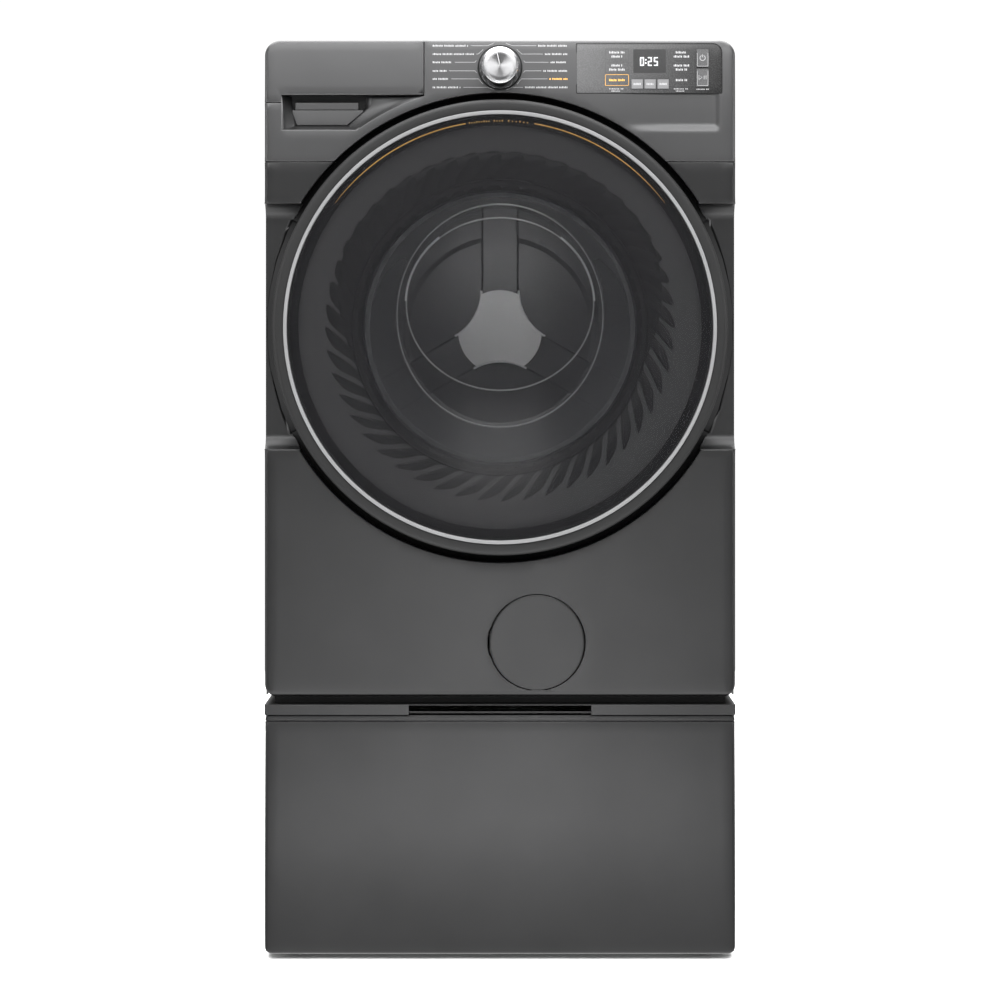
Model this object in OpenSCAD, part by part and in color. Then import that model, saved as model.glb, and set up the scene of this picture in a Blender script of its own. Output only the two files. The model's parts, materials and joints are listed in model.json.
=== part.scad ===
// Front load washing machine on its storage pedestal.
// +Z up, front of the machine towards -Y, origin on the floor under the middle of the body.

/* [Overall] */
// Width of the washer and of the pedestal
body_w = 686; // [680:1:692]
// Height of the pedestal, up to the washer's lower edge
pedestal_h = 383; // [383:1:390]
// Height of the washer from its lower edge to its top
washer_h = 957; // [955:1:962]
// Height of the drum and door axis above the washer's lower edge
axis_h = 538; // [536:1:540]

/* [Door] */
// Radius of the door over its outer bezel
door_r = 331; // [329:1:332]
// Radius of the round well that the door closes into
well_r = 343.7; // [343:0.1:344]
// Depth of the well and of the hand scoops beside it
well_d = 23; // [22:1:24]
// Radius of the loading opening
mouth_r = 215; // [214:1:216]

/* [Console] */
// Height of the console fascia
console_h = 177; // [175:1:180]
// Radius of the upper corners of the fascia
console_corner = 22; // [10:1:24]
// Radius of the cycle knob's grip
knob_r = 25; // [20:1:26]

/* [Drum] */
// Outer radius of the drum
drum_r = 280; // [276:1:281]
// Inner radius of the tub
tub_r = 308; // [307:1:309]
// Radius of the drum pulley
pulley_r = 140; // [130:1:141]
// Radius of the motor pulley
motor_pulley_r = 14; // [13:1:15]

/* [Hidden] */
$fn = 96;

half_w = body_w / 2;
front_y = -345;
back_y = 385;
base_z = pedestal_h;
top_z = pedestal_h + washer_h;
axis_z = base_z + axis_h;
seam_z = top_z - console_h - 1;
floor_y = front_y + well_d;
sheet = 2;
case_front_y = -316;
lid_h = 18;
scoop_low = axis_z - 177;
scoop_high = axis_z + 181;
recess_r = well_r + 12;
dispenser_x = -111;
dispenser_z = 1249;
recess_x = -318.5;
recess_z = 1208.6;
panel_low = [112, 1263];
panel_high = [323, 1335];
knob_z = 1300;
board_y = -326;
hinge_x = -322;
hinge_y = -372;
hinge_pin_r = 3;
running_gap = 0.05;
strike_x = 262;
filter_x = 54;
filter_z = 462.4;
filter_r = 70;
cover_hinge_x = filter_x - filter_r + 2.1;
// Notch in the panel beside the cover's hinge, which the cover's edge swings through
hinge_relief = 0.6;
relief_high = 21.5;
lug_high = 16.5;
pump_bore_r = 36;
pump_r = 40;
dish_y = -400;
glass_r = 309.6;
bowl_r = 190;
bowl_y = -300;
tub_wall = 4;
motor_x = 95;
motor_z = 505;
belt_gap = 0.3;
rear_bearing_r = 12.5;
front_bearing_r = 15;
damper_x = 150;
damper_y = 100;
spring_x = 230;
spring_y = 60;
spring_low = 1166;
spring_high = 1296;
spring_r = 11;
key_front_y = -346.4;
port_r = 13.45;
option_key = [16.2, 13.4];
option_x = 218.6;
option_pitch = 18.9;
option_z = 1269.2;
side_key = [17, 25.6];
pedestal_top = base_z - 11;
drawer_top = 355.5;
drawer_bottom = 8;
rail_z = 180;

// Block between a low corner and a high corner.
module block(low, high) {
    translate(low) cube(high - low);
}

// Cylinder along Y at x and z.
module rod_y(x, z, y0, y1, r) {
    translate([x, y0, z]) rotate([-90, 0, 0]) cylinder(r = r, h = y1 - y0);
}

// Cylinder along Z at x and y.
module rod_z(x, y, z0, z1, r) {
    translate([x, y, z0]) cylinder(r = r, h = z1 - z0);
}

// Flat plate in the XZ plane, from the front face at y_front backwards.
module plate(y_front, thick) {
    translate([0, y_front + thick, 0]) rotate([90, 0, 0]) linear_extrude(thick) children();
}

// Rectangle between two corners.
module rect(low, high) {
    translate(low) square(high - low);
}

// Disc in the XZ plane about the drum axis.
module axis_disc(r) {
    translate([0, axis_z]) circle(r);
}

// Solid turned about the drum axis from a profile of radius against y.
module turned() {
    translate([0, 0, axis_z]) rotate([-90, 0, 0]) rotate_extrude() children();
}

// Plain ring about the drum axis.
module ring(r_in, r_out, y0, y1) {
    turned() translate([r_in, y0]) square([r_out - r_in, y1 - y0]);
}

// Copies at both sides of the middle plane.
module both_sides() {
    children();
    mirror([1, 0, 0]) children();
}

// Rectangle with both upper corners rounded.
module round_top(low, high, r) {
    rect(low, [high[0], high[1] - r]);
    rect([low[0] + r, low[1]], [high[0] - r, high[1]]);
    translate([low[0] + r, high[1] - r]) circle(r);
    translate([high[0] - r, high[1] - r]) circle(r);
}

// Rectangle with both lower corners rounded.
module round_bottom(low, high, r) {
    rect([low[0], low[1] + r], high);
    rect([low[0] + r, low[1]], [high[0] - r, high[1]]);
    translate([low[0] + r, low[1] + r]) circle(r);
    translate([high[0] - r, low[1] + r]) circle(r);
}

// Rings of a tube of radius r that follows a list of points with n sides.
function unit(v) = v / norm(v);
function tangent(p, i) = unit(p[min(i + 1, len(p) - 1)] - p[max(i - 1, 0)]);
function side_of(t) = unit(cross(t, abs(t[2]) < 0.9 ? [0, 0, 1] : [0, 1, 0]));
function tube_ring(c, t, r, n) = let(u = side_of(t), v = cross(t, u))
    [for (k = [0:n - 1]) c + r * (cos(360 * k / n) * u + sin(360 * k / n) * v)];

// Round tube swept along a list of points.
module swept_tube(p, r, n) {
    rings = [for (i = [0:len(p) - 1]) tube_ring(p[i], tangent(p, i), r, n)];
    points = [for (one = rings) for (q = one) q];
    last = len(p) - 1;
    walls = [for (i = [0:last - 1]) for (k = [0:n - 1]) for (half = [0, 1])
        let(next = (k + 1) % n) half == 0
            ? [i * n + k, (i + 1) * n + k, (i + 1) * n + next]
            : [i * n + k, (i + 1) * n + next, i * n + next]];
    caps = [[for (k = [0:n - 1]) k], [for (k = [n - 1:-1:0]) last * n + k]];
    polyhedron(points, concat(walls, caps));
}

// ---------- Cabinet ----------

module cabinet_shell() {
    color([0.22, 0.22, 0.23]) {
        difference() {
            block([-half_w, case_front_y, base_z], [half_w, back_y, top_z - lid_h]);
            block([-half_w + sheet, case_front_y - 1, base_z - 1],
                [half_w - sheet, back_y - sheet, top_z]);
            block([-200, back_y - 5, 640], [200, back_y + 5, 1160]);
            for (x = [-195, -145]) rod_y(x, 1280, back_y - 5, back_y + 5, 12.4);
            rod_y(250, 470, back_y - 5, back_y + 5, 9.4);
            rod_y(200, 1270, back_y - 5, back_y + 5, 9);
            for (x = [-207, 207], z = [650, 900, 1150]) rod_y(x, z, back_y - 5, back_y + 5, 2.2);
        }
        block([-half_w + sheet, spring_y - 12, 1302], [half_w - sheet, spring_y + 12, 1318]);
        both_sides() rod_z(spring_x, spring_y, 1296, 1302, 6);
    }
}

module top_panel() {
    color([0.24, 0.24, 0.25]) difference() {
        block([-half_w, case_front_y, top_z - lid_h], [half_w, back_y, top_z]);
        block([-half_w + sheet, case_front_y + sheet, top_z - lid_h - 1],
            [half_w - sheet, back_y - sheet, top_z - sheet]);
    }
}

// Area that the panel face gives up to the round well and the two hand scoops.
module well_area(grow) {
    axis_disc(well_r + grow);
    rect([-half_w - 1, scoop_low - grow], [half_w + 1, scoop_high + grow]);
}

module lower_front_panel() {
    color([0.24, 0.24, 0.25]) {
        difference() {
            plate(front_y, well_d + sheet)
                round_bottom([-half_w, base_z], [half_w, seam_z], 17.5);
            plate(front_y + sheet, well_d + 5)
                round_bottom([-half_w + sheet, base_z + sheet], [half_w - sheet, seam_z - sheet], 15.5);
            plate(front_y - 1, well_d + 5) well_area(0);
            rod_y(filter_x, filter_z, front_y - 1, front_y + 5, filter_r + 0.6);
            block([filter_x - filter_r - hinge_relief, front_y - 1, filter_z - relief_high],
                [filter_x - filter_r + 6, front_y + 5, filter_z + relief_high]);
        }
        difference() {
            plate(front_y, well_d + sheet) intersection() {
                rect([-half_w, base_z], [half_w, seam_z]);
                axis_disc(well_r + sheet);
            }
            plate(front_y - 1, well_d + 5) well_area(0);
        }
        difference() {
            plate(floor_y, sheet) {
                difference() {
                    intersection() {
                        well_area(sheet);
                        rect([-half_w, base_z], [half_w, top_z]);
                    }
                    axis_disc(mouth_r);
                }
            }
            block([strike_x - 12, floor_y - 5, axis_z - 16], [strike_x + 12, floor_y + 5, axis_z + 16]);
        }
        scoop_ends();
        for (z = [filter_z - lug_high, filter_z + 12.1]) difference() {
            block([filter_x - filter_r - 3, front_y + 0.4, z],
                [cover_hinge_x + 1.5, front_y + 3, z + lug_high - 12.1]);
            rod_z(cover_hinge_x, front_y + 1.5, z - 1, z + 6, 0.8 + running_gap);
        }
    }
}

// Quarter-round coves that close the hand scoops above and below.
module scoop_ends() {
    difference() {
        block([-half_w, front_y, scoop_high - well_d], [half_w, floor_y + sheet, scoop_high + sheet]);
        translate([-half_w - 1, front_y, scoop_high - well_d]) rotate([0, 90, 0])
            cylinder(r = well_d, h = body_w + 2);
        plate(front_y - 1, well_d + 5) axis_disc(well_r);
    }
    difference() {
        block([-half_w, front_y, scoop_low - sheet], [half_w, floor_y + sheet, scoop_low + well_d]);
        translate([-half_w - 1, front_y, scoop_low + well_d]) rotate([0, 90, 0])
            cylinder(r = well_d, h = body_w + 2);
        plate(front_y - 1, well_d + 5) axis_disc(well_r);
    }
}

// Openings in the console for the keys, grown by gap.
module key_holes(gap, y0, y1) {
    for (x = [-1:1])
        block([option_x + option_pitch * x - option_key[0] / 2 - gap, y0, option_z - gap],
            [option_x + option_pitch * x + option_key[0] / 2 + gap, y1, option_z + option_key[1] + gap]);
    for (z = [1272.5, 1300.9]) block([295 - side_key[0] / 2 - gap, y0, z - gap],
        [295 + side_key[0] / 2 + gap, y1, z + side_key[1] + gap]);
}

module console_fascia() {
    skin = 3;
    color([0.3, 0.3, 0.31]) difference() {
        union() {
            difference() {
                plate(front_y, case_front_y - front_y) difference() {
                    round_top([-half_w, seam_z + 1], [half_w, top_z], console_corner);
                    axis_disc(well_r);
                }
                plate(front_y + skin, 45) difference() {
                    round_top([-half_w + skin, seam_z - 1], [half_w - skin, top_z - skin],
                        console_corner - skin);
                    axis_disc(well_r + skin);
                }
                plate(floor_y - 0.3, 45) axis_disc(well_r + skin + 1);
                block([-half_w - 1, front_y - 1, dispenser_z - 0.5],
                    [dispenser_x + 0.5, front_y + 20, top_z + 1]);
            }
            plate(front_y, well_d) difference() {
                rect([recess_x - 2, recess_z - 2], [dispenser_x + 2, dispenser_z - 0.5]);
                axis_disc(recess_r - 2);
            }
        }
        plate(front_y - 1, 21) difference() {
            rect([recess_x, recess_z], [dispenser_x, dispenser_z + 20]);
            axis_disc(recess_r);
        }
        plate(front_y - 1, 2.5) difference() {
            rect([204, 1223], [316, 1262]);
            axis_disc(recess_r);
        }
        plate(front_y - 1, 3) rect(panel_low - [0.4, 0.4], panel_high + [0.4, 0.4]);
        key_holes(0.4, front_y - 1, front_y + 5);
        rod_y(0, knob_z, front_y - 1, front_y + 5, 6);
    }
}

module touch_panel() {
    color([0.16, 0.16, 0.17]) difference() {
        plate(front_y - 0.4, 2.4) rect(panel_low, panel_high);
        key_holes(0.4, front_y - 2, front_y + 5);
    }
}

module control_board() {
    color([0.1, 0.32, 0.16]) {
        block([-42, board_y, 1268], [325, board_y + 2, 1334]);
        difference() {
            block([-11, board_y - 10, knob_z - 11], [11, board_y, knob_z + 11]);
            rod_y(0, knob_z, board_y - 12, board_y - 2, hinge_pin_r + running_gap);
        }
        for (x = [-1:1])
            block([option_x - 3 + option_pitch * x, board_y - 4, 1273],
                [option_x + 3 + option_pitch * x, board_y, 1279]);
        for (z = [1282, 1311]) block([292, board_y - 4, z], [298, board_y, z + 6]);
    }
}

module rear_access_panel() {
    color([0.5, 0.5, 0.5]) difference() {
        block([-214, back_y, 630], [214, back_y + 1.5, 1170]);
        for (x = [-207, 207], z = [650, 900, 1150]) rod_y(x, z, back_y - 1, back_y + 5, 2.2);
        for (z = [760:40:1040]) block([-90, back_y - 1, z], [90, back_y + 5, z + 8]);
    }
}

module cabinet_screws() {
    color([0.6, 0.6, 0.6]) for (x = [-207, 207], z = [650, 900, 1150]) {
        rod_y(x, z, back_y + 1.5, back_y + 5, 5);
        rod_y(x, z, back_y - 8, back_y + 1.5, 2);
    }
}

module base_pan() {
    color([0.08, 0.08, 0.08]) {
        difference() {
            block([-330, case_front_y - 2, pedestal_top], [330, 370, 402]);
            block([-327, case_front_y + 1, pedestal_top + 4], [327, 367, 403]);
        }
        block([filter_x - 30, -280, pedestal_top + 4], [filter_x + 30, -190, filter_z - pump_r]);
    }
}

module door_lock() {
    color([0.12, 0.12, 0.12]) difference() {
        block([strike_x - 16, floor_y + sheet, axis_z - 40], [strike_x + 28, -285, axis_z + 40]);
        block([strike_x - 12, floor_y - 1, axis_z - 16], [strike_x + 12, -290, axis_z + 16]);
    }
}

module door_hinge_bracket() {
    color([0.55, 0.55, 0.56]) {
        difference() {
            union() {
                rod_z(hinge_x, hinge_y, axis_z - 28, axis_z + 28, 6.5);
                block([hinge_x - 2.5, hinge_y, axis_z - 28], [hinge_x + 2.5, floor_y - 2, axis_z + 28]);
            }
            rod_z(hinge_x, hinge_y, axis_z - 29, axis_z + 29, hinge_pin_r + running_gap);
        }
        block([hinge_x - 4, floor_y - 3, axis_z - 40], [hinge_x + 18, floor_y, axis_z + 40]);
    }
}

// ---------- Water and electrics ----------

module dispenser_housing() {
    color([0.75, 0.75, 0.75]) {
        difference() {
            block([-318, -322, 1256], [-114, -60, 1320]);
            block([-315, -323, 1259], [-117, -63, 1317]);
            rod_z(-160, -100, 1240, 1260, 11);
        }
        difference() {
            rod_z(-160, -100, 1240, 1256, 14);
            rod_z(-160, -100, 1239, 1257, 11);
        }
        for (x = [-195, -145]) rod_y(x, 1280, -60, -40, 6);
    }
}

module dispenser_hose() {
    color([0.1, 0.1, 0.1]) translate([-160, -100, 1206]) rotate_extrude()
        polygon([[14.3, 0], [18, 0], [18, 10], [21, 13], [18, 16], [21, 19], [18, 22], [21, 25],
            [18, 28], [18, 44], [14.3, 44]]);
}

module water_inlet_valve() {
    color([0.2, 0.3, 0.7]) {
        block([-215, 330, 1262], [-125, back_y - sheet, 1298]);
        for (x = [-195, -145]) {
            rod_y(x, 1280, back_y - sheet, back_y, 12);
            difference() {
                rod_y(x, 1280, back_y, 400, port_r);
                rod_y(x, 1280, 388, 401, 9);
            }
            rod_y(x, 1280, 305, 330, 6);
        }
    }
}

module inlet_hoses() {
    color([0.7, 0.7, 0.72]) for (x = [-195, -145]) difference() {
        rod_y(x, 1280, -58, 328, 9);
        rod_y(x, 1280, -59, 329, 6.3);
    }
}

module drain_pump() {
    color([0.15, 0.15, 0.16]) {
        difference() {
            union() {
                rod_y(filter_x, filter_z, -296, -180, pump_r);
                rod_z(filter_x, -200, filter_z, 520, 18);
            }
            rod_y(filter_x, filter_z, -297, -190, pump_bore_r);
            rod_z(filter_x, -200, filter_z, 521, 14);
        }
        rod_y(filter_x, filter_z, -180, -100, 28);
        translate([filter_x, -160, filter_z]) rotate([0, 90, 0]) cylinder(r = 10, h = 50);
    }
}

module sump_hose() {
    color([0.1, 0.1, 0.1]) translate([filter_x, -200, 508]) rotate_extrude()
        polygon([[18.3, 0], [22, 0], [22, 16], [28, 24], [22, 32], [28, 40], [22, 48], [28, 56],
            [22, 64], [22, 96], [18.3, 96]]);
}

// Points of the drain hose from the pump to the outlet in the rear wall.
drain_route = [[104.5, -160, 462.4], [125, -160, 462], [148, -150, 460], [163, -128, 455],
    [170, -100, 449], [176, -70, 443], [184, -40, 438], [194, -5, 434], [206, 35, 432],
    [217, 80, 431], [226, 125, 432], [234, 170, 435], [240, 210, 440], [245, 245, 447],
    [248, 275, 455], [250, 302, 463], [250, 325, 469], [250, 350, 470], [250, 379.5, 470]];

module drain_hose() {
    color([0.35, 0.35, 0.36]) {
        swept_tube(drain_route, 10, 12);
        rod_y(250, 470, 379.5, back_y - sheet, 20);
        rod_y(250, 470, back_y - sheet, back_y, 9);
        rod_y(250, 470, back_y, 399, 11);
    }
}

module power_inlet() {
    color([0.08, 0.08, 0.08]) {
        rod_y(200, 1270, 379, back_y - sheet, 14);
        rod_y(200, 1270, back_y - sheet, back_y, 8.7);
        rod_y(200, 1270, back_y, 392, 13);
    }
}

module suspension_springs() {
    turns = 9;
    steps = 12;
    wire = 2;
    low = spring_low + wire;
    high = spring_high - wire;
    color([0.6, 0.6, 0.62]) both_sides()
        swept_tube([for (i = [0:turns * steps]) [spring_x + spring_r * cos(360 * i / steps),
            spring_y + spring_r * sin(360 * i / steps), low + (high - low) * i / (turns * steps)]],
            wire, 6);
}

module damper_cylinders() {
    color([0.2, 0.2, 0.2]) both_sides() difference() {
        rod_z(damper_x, damper_y, pedestal_top + 4, 500, 16);
        rod_z(damper_x, damper_y, 384, 501, 9);
    }
}

module door_bellows() {
    color([0.35, 0.35, 0.36]) turned()
        polygon([[205, -331], [224, -331], [224, floor_y - 0.3], [mouth_r - 0.3, floor_y - 0.3],
            [mouth_r - 0.3, floor_y + 2.3], [224, floor_y + 2.3], [224, -316], [243, -307],
            [243, -289], [228, -276], [225, -264], [225, -246], [221.3, -246], [221.3, -265],
            [224, -278], [239, -291], [239, -305], [222, -313], [212, -313], [210, -318],
            [205, -324]]);
}

// ---------- Tub ----------

module tub_front() {
    color([0.8, 0.8, 0.8]) difference() {
        union() {
            turned() polygon([[216, -262], [220.9, -262], [220.9, -242], [tub_r + tub_wall, -242],
                [tub_r + tub_wall, -50], [tub_r + 14, -50], [tub_r + 14, -40], [tub_r, -40],
                [tub_r, -238], [216, -238]]);
            rod_z(-160, -100, 1183, 1212, 14);
            rod_z(filter_x, -200, 576, 620, 18);
        }
        rod_z(-160, -100, 1170, 1213, 11);
        rod_z(filter_x, -200, 575, 630, 14);
    }
}

module tub_rear() {
    color([0.8, 0.8, 0.8]) difference() {
        union() {
            turned() polygon([[33, 222], [46, 222], [46, 240], [tub_r, 240], [tub_r, -40],
                [tub_r + 14, -40], [tub_r + 14, -30], [tub_r + tub_wall, -30],
                [tub_r + tub_wall, 246], [46, 246], [46, 300], [26, 300], [26, 283], [20, 283],
                [20, 248], [31, 248], [31, 232], [33, 232]]);
            both_sides() {
                block([spring_x - 10, spring_y - 10, 1125], [spring_x + 10, spring_y + 10, spring_low]);
                block([damper_x - 12, damper_y - 12, 640], [damper_x + 12, damper_y + 12, 660]);
            }
            block([motor_x - 20, 200, 600], [motor_x + 20, 240, 640]);
        }
        ring(0.1, tub_r, -45, 239.9);
        for (x = [-25, 25]) rod_y(x, axis_z - 294, 230, 250, 4.3);
    }
    color([0.8, 0.8, 0.8]) ring(33, 46, 222, 240);
}

module counterweights() {
    color([0.55, 0.55, 0.53]) {
        intersection() {
            ring(tub_r + tub_wall, 358, -230, -70);
            plate(-240, 200) polygon([[0, axis_z], [-107, axis_z + 400], [107, axis_z + 400]]);
        }
        intersection() {
            ring(256, 306, -282, -242);
            plate(-300, 80) rect([-320, axis_z - 320], [320, axis_z - 40]);
        }
    }
}

module tub_heater() {
    color([0.7, 0.7, 0.7]) {
        for (x = [-25, 25]) rod_y(x, axis_z - 294, 30, 262, 4);
        translate([-25, 30, axis_z - 294]) rotate([0, 90, 0]) cylinder(r = 4, h = 50);
        difference() {
            block([-38, 246, axis_z - 303], [38, 252, axis_z - 285]);
            for (x = [-25, 25]) rod_y(x, axis_z - 294, 240, 260, 4);
        }
    }
}

// Front bearing, rear bearing and the shaft seal in front of them.
module tub_bearings() {
    color([0.7, 0.7, 0.72]) {
        ring(front_bearing_r, 31, 232, 248);
        ring(rear_bearing_r, 26, 283, 298);
    }
    color([0.1, 0.1, 0.1]) ring(front_bearing_r + 0.3, 33, 223, 231);
}

module drive_motor() {
    color([0.35, 0.35, 0.37]) difference() {
        union() {
            rod_y(motor_x, motor_z, 190, 296, 62);
            block([motor_x - 20, 200, motor_z + 50], [motor_x + 20, 240, 600]);
        }
        rod_y(motor_x, motor_z, 270, 297, 8 + running_gap);
    }
}

// Outline of a belt around both pulleys, at a distance from their rims.
module belt_outline(gap) {
    big = [0, axis_z];
    small = [motor_x, motor_z];
    way = unit(small - big);
    side = [-way[1], way[0]];
    tip = acos((pulley_r - motor_pulley_r) / norm(small - big));
    left = cos(tip) * way + sin(tip) * side;
    right = cos(tip) * way - sin(tip) * side;
    translate(big) circle(pulley_r + gap);
    translate(small) circle(motor_pulley_r + gap);
    polygon([big + (pulley_r + gap) * left, small + (motor_pulley_r + gap) * left,
        small + (motor_pulley_r + gap) * right, big + (pulley_r + gap) * right]);
}

module drive_belt() {
    color([0.06, 0.06, 0.06]) plate(306, 12) difference() {
        belt_outline(belt_gap + 4);
        belt_outline(belt_gap);
    }
}

module damper_rods() {
    color([0.7, 0.7, 0.7]) both_sides() rod_z(damper_x, damper_y, 410, 640, 8);
}

// ---------- Drum ----------

module drum_shell() {
    wall = 1.5;
    color([0.75, 0.75, 0.76]) turned()
        polygon([[drum_r, 197], [drum_r, -192], [272, -208], [232, -214], [222, -209],
            [222.8, -207.5], [232, -212.4], [271, -206.4], [drum_r - wall, -191],
            [drum_r - wall, 197]]);
}

module drum_back() {
    color([0.75, 0.75, 0.76]) {
        ring(0.5, drum_r - 1.5, 195, 197);
        plate(189, 6) intersection() {
            axis_disc(262);
            union() {
                axis_disc(74);
                for (a = [90, 210, 330]) translate([0, axis_z]) rotate(a)
                    polygon([[0, -60], [262, -36], [262, 36], [0, 60]]);
            }
        }
    }
}

module drum_baffles() {
    color([0.3, 0.3, 0.32]) plate(-165, 330) for (a = [30, 150, 270])
        translate([0, axis_z]) rotate(a) intersection() {
            circle(drum_r - 1.5);
            polygon([[230, -11], [290, -34], [290, 34], [230, 11]]);
        }
}

module drum_spider() {
    color([0.62, 0.62, 0.64]) {
        plate(197, 18) intersection() {
            axis_disc(drum_r - 4);
            union() {
                axis_disc(42);
                for (a = [90, 210, 330]) translate([0, axis_z]) rotate(a)
                    polygon([[0, -26], [290, -16], [290, 16], [0, 26]]);
            }
        }
        rod_y(0, axis_z, 215, 262, front_bearing_r - running_gap);
        rod_y(0, axis_z, 262, 326, rear_bearing_r - running_gap);
    }
}

module drum_pulley() {
    color([0.7, 0.7, 0.72]) difference() {
        union() {
            ring(pulley_r - 6, pulley_r, 304, 320);
            ring(rear_bearing_r, pulley_r - 5, 309, 314);
            ring(rear_bearing_r, 26, 303, 322);
        }
        for (a = [0:60:300]) rod_y(80 * cos(a), axis_z + 80 * sin(a), 300, 330, 30);
    }
}

module motor_pulley() {
    color([0.6, 0.6, 0.62]) {
        rod_y(motor_x, motor_z, 275, 304, 8);
        rod_y(motor_x, motor_z, 304, 320, motor_pulley_r);
    }
}

// ---------- Door ----------

// Space left in the door for the fixed hinge knuckle.
module knuckle_space() {
    block([-half_w, hinge_y - 7.5, axis_z - 31], [-309, -330, axis_z + 31]);
}

module door_frame() {
    color([0.16, 0.16, 0.17]) difference() {
        union() {
            turned() polygon([[317.3, -385], [door_r - 3, -385], [door_r, -382], [door_r, -353],
                [324, -340], [320, -340], [320, -350], [door_r - 4, -358], [door_r - 4, -376],
                [303, -376], [303, -380], [317.3, -380]]);
            for (z = [axis_z - 46, axis_z + 32]) rod_z(hinge_x, hinge_y, z, z + 14, 6);
        }
        knuckle_space();
        rod_z(hinge_x, hinge_y, axis_z - 46, axis_z + 46, hinge_pin_r);
    }
}

module door_trim_ring() {
    color([0.78, 0.78, 0.78]) ring(310, 317, -390, -380);
}

module door_glass() {
    steps = 8;
    rise = 14;
    thick = 4;
    color([0.2, 0.2, 0.22, 0.4]) turned()
        polygon(concat(
            [for (i = [0:steps]) [glass_r * i / steps, dish_y + rise * pow(i / steps, 2)]],
            [for (i = [steps:-1:0])
                [glass_r * i / steps, dish_y + thick + (rise + 2) * pow(i / steps, 2)]]));
}

module door_vane_ring() {
    color([0.14, 0.14, 0.15]) ring(200, 311, -376, -373);
}

module door_bowl() {
    steps = 8;
    depth = 80;
    wall = 5;
    color([0.6, 0.62, 0.65, 0.4]) turned()
        polygon(concat([[mouth_r, -347], [mouth_r, -341], [bowl_r + 6, -341]],
            [for (i = [0:steps]) [bowl_r * cos(90 * i / steps), bowl_y + depth * sin(90 * i / steps)]],
            [for (i = [steps:-1:0]) [(bowl_r - wall) * cos(90 * i / steps),
                bowl_y + (depth - wall) * sin(90 * i / steps)]],
            [[bowl_r + 1, -347]]));
}

module door_inner_frame() {
    color([0.12, 0.12, 0.13]) difference() {
        turned() polygon([[199, -341], [mouth_r + 0.5, -341], [mouth_r + 0.5, -352],
            [mouth_r + 4, -352], [mouth_r + 4, -341], [312, -341], [312, -352], [319.5, -352],
            [319.5, -337], [316, -334], [199, -334]]);
        knuckle_space();
    }
}

module door_hinge_pin() {
    color([0.6, 0.6, 0.62]) rod_z(hinge_x, hinge_y, axis_z - 46, axis_z + 46, hinge_pin_r);
}

module door_strike() {
    color([0.6, 0.6, 0.62]) difference() {
        union() {
            block([strike_x - 12, -334, axis_z - 22], [strike_x + 12, -331, axis_z + 22]);
            block([strike_x - 4, -332, axis_z - 11], [strike_x + 4, -296, axis_z + 11]);
        }
        block([strike_x - 5, -314, axis_z - 6], [strike_x + 5, -302, axis_z + 6]);
    }
}

// ---------- Dispenser drawer, knob and keys ----------

module dispenser_front() {
    color([0.3, 0.3, 0.31]) difference() {
        plate(front_y, 20) intersection() {
            round_top([-half_w, dispenser_z], [half_w, top_z], console_corner);
            rect([-half_w, dispenser_z], [dispenser_x, top_z - 1]);
        }
        block([recess_x, front_y - 1, dispenser_z - 1], [dispenser_x + 1, front_y + 21, 1266]);
        block([recess_x, front_y + 4, 1260], [-125, front_y + 21, 1284]);
    }
}

module dispenser_tray() {
    color([0.72, 0.74, 0.76]) difference() {
        block([-311, front_y + 20, 1286], [-121, -80, 1314]);
        block([-308, front_y + 23, 1289], [-236, -83, 1315]);
        block([-233, front_y + 23, 1289], [-182, -83, 1315]);
        block([-179, front_y + 23, 1289], [-124, -83, 1315]);
    }
}

module cycle_knob() {
    color([0.75, 0.75, 0.76]) rod_y(0, knob_z, front_y - 28, board_y - 3, hinge_pin_r);
    color([0.75, 0.75, 0.76]) difference() {
        union() {
            rod_y(0, knob_z, front_y - 4, front_y - 1, 31);
            rod_y(0, knob_z, front_y - 30, front_y - 4, knob_r);
            }
        rod_y(0, knob_z, front_y - 27, front_y, knob_r - 3);
        block([-1, front_y - 31, knob_z + 6], [1, front_y - 29, knob_z + 22]);
    }
}

// Key cap at its lower corner, with a stem towards its switch.
module key(x, z, size) {
    block([x - size[0] / 2, key_front_y, z], [x + size[0] / 2, front_y + 3, z + size[1]]);
    rod_y(x, z + size[1] / 2, front_y + 2, board_y - 6, 3);
}

module power_key() {
    color([0.2, 0.2, 0.21]) key(295, 1300.9, side_key);
}

module start_key() {
    color([0.2, 0.2, 0.21]) key(295, 1272.5, side_key);
}

module spin_key() {
    color([0.45, 0.45, 0.46]) key(option_x - option_pitch, option_z, option_key);
}

module temperature_key() {
    color([0.45, 0.45, 0.46]) key(option_x, option_z, option_key);
}

module soil_key() {
    color([0.45, 0.45, 0.46]) key(option_x + option_pitch, option_z, option_key);
}

// ---------- Drain filter ----------

module filter_cover() {
    color([0.24, 0.24, 0.25]) {
        difference() {
            rod_y(filter_x, filter_z, front_y, front_y + 3, filter_r - 0.6);
            block([filter_x - filter_r, front_y - 1, filter_z - lug_high - 0.3],
                [cover_hinge_x, front_y + 4, filter_z + lug_high + 0.3]);
            for (end = [-1, 1]) translate([cover_hinge_x, front_y + 1.5, filter_z + end * 14.3])
                cube([5, 5, 5], center = true);
        }
        rod_z(cover_hinge_x, front_y + 1.5, filter_z - 11.8, filter_z + 11.8, 1.5);
        rod_z(cover_hinge_x, front_y + 1.5, filter_z - lug_high, filter_z + lug_high, 0.8);
    }
}

module drain_filter() {
    color([0.12, 0.12, 0.12]) {
        rod_y(filter_x, filter_z, -312, -298, 38);
        rod_y(filter_x, filter_z, -299, -225, pump_bore_r - 2);
        block([filter_x - 4, -326, filter_z - 26], [filter_x + 4, -311, filter_z + 26]);
    }
}

// ---------- Pedestal ----------

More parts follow.
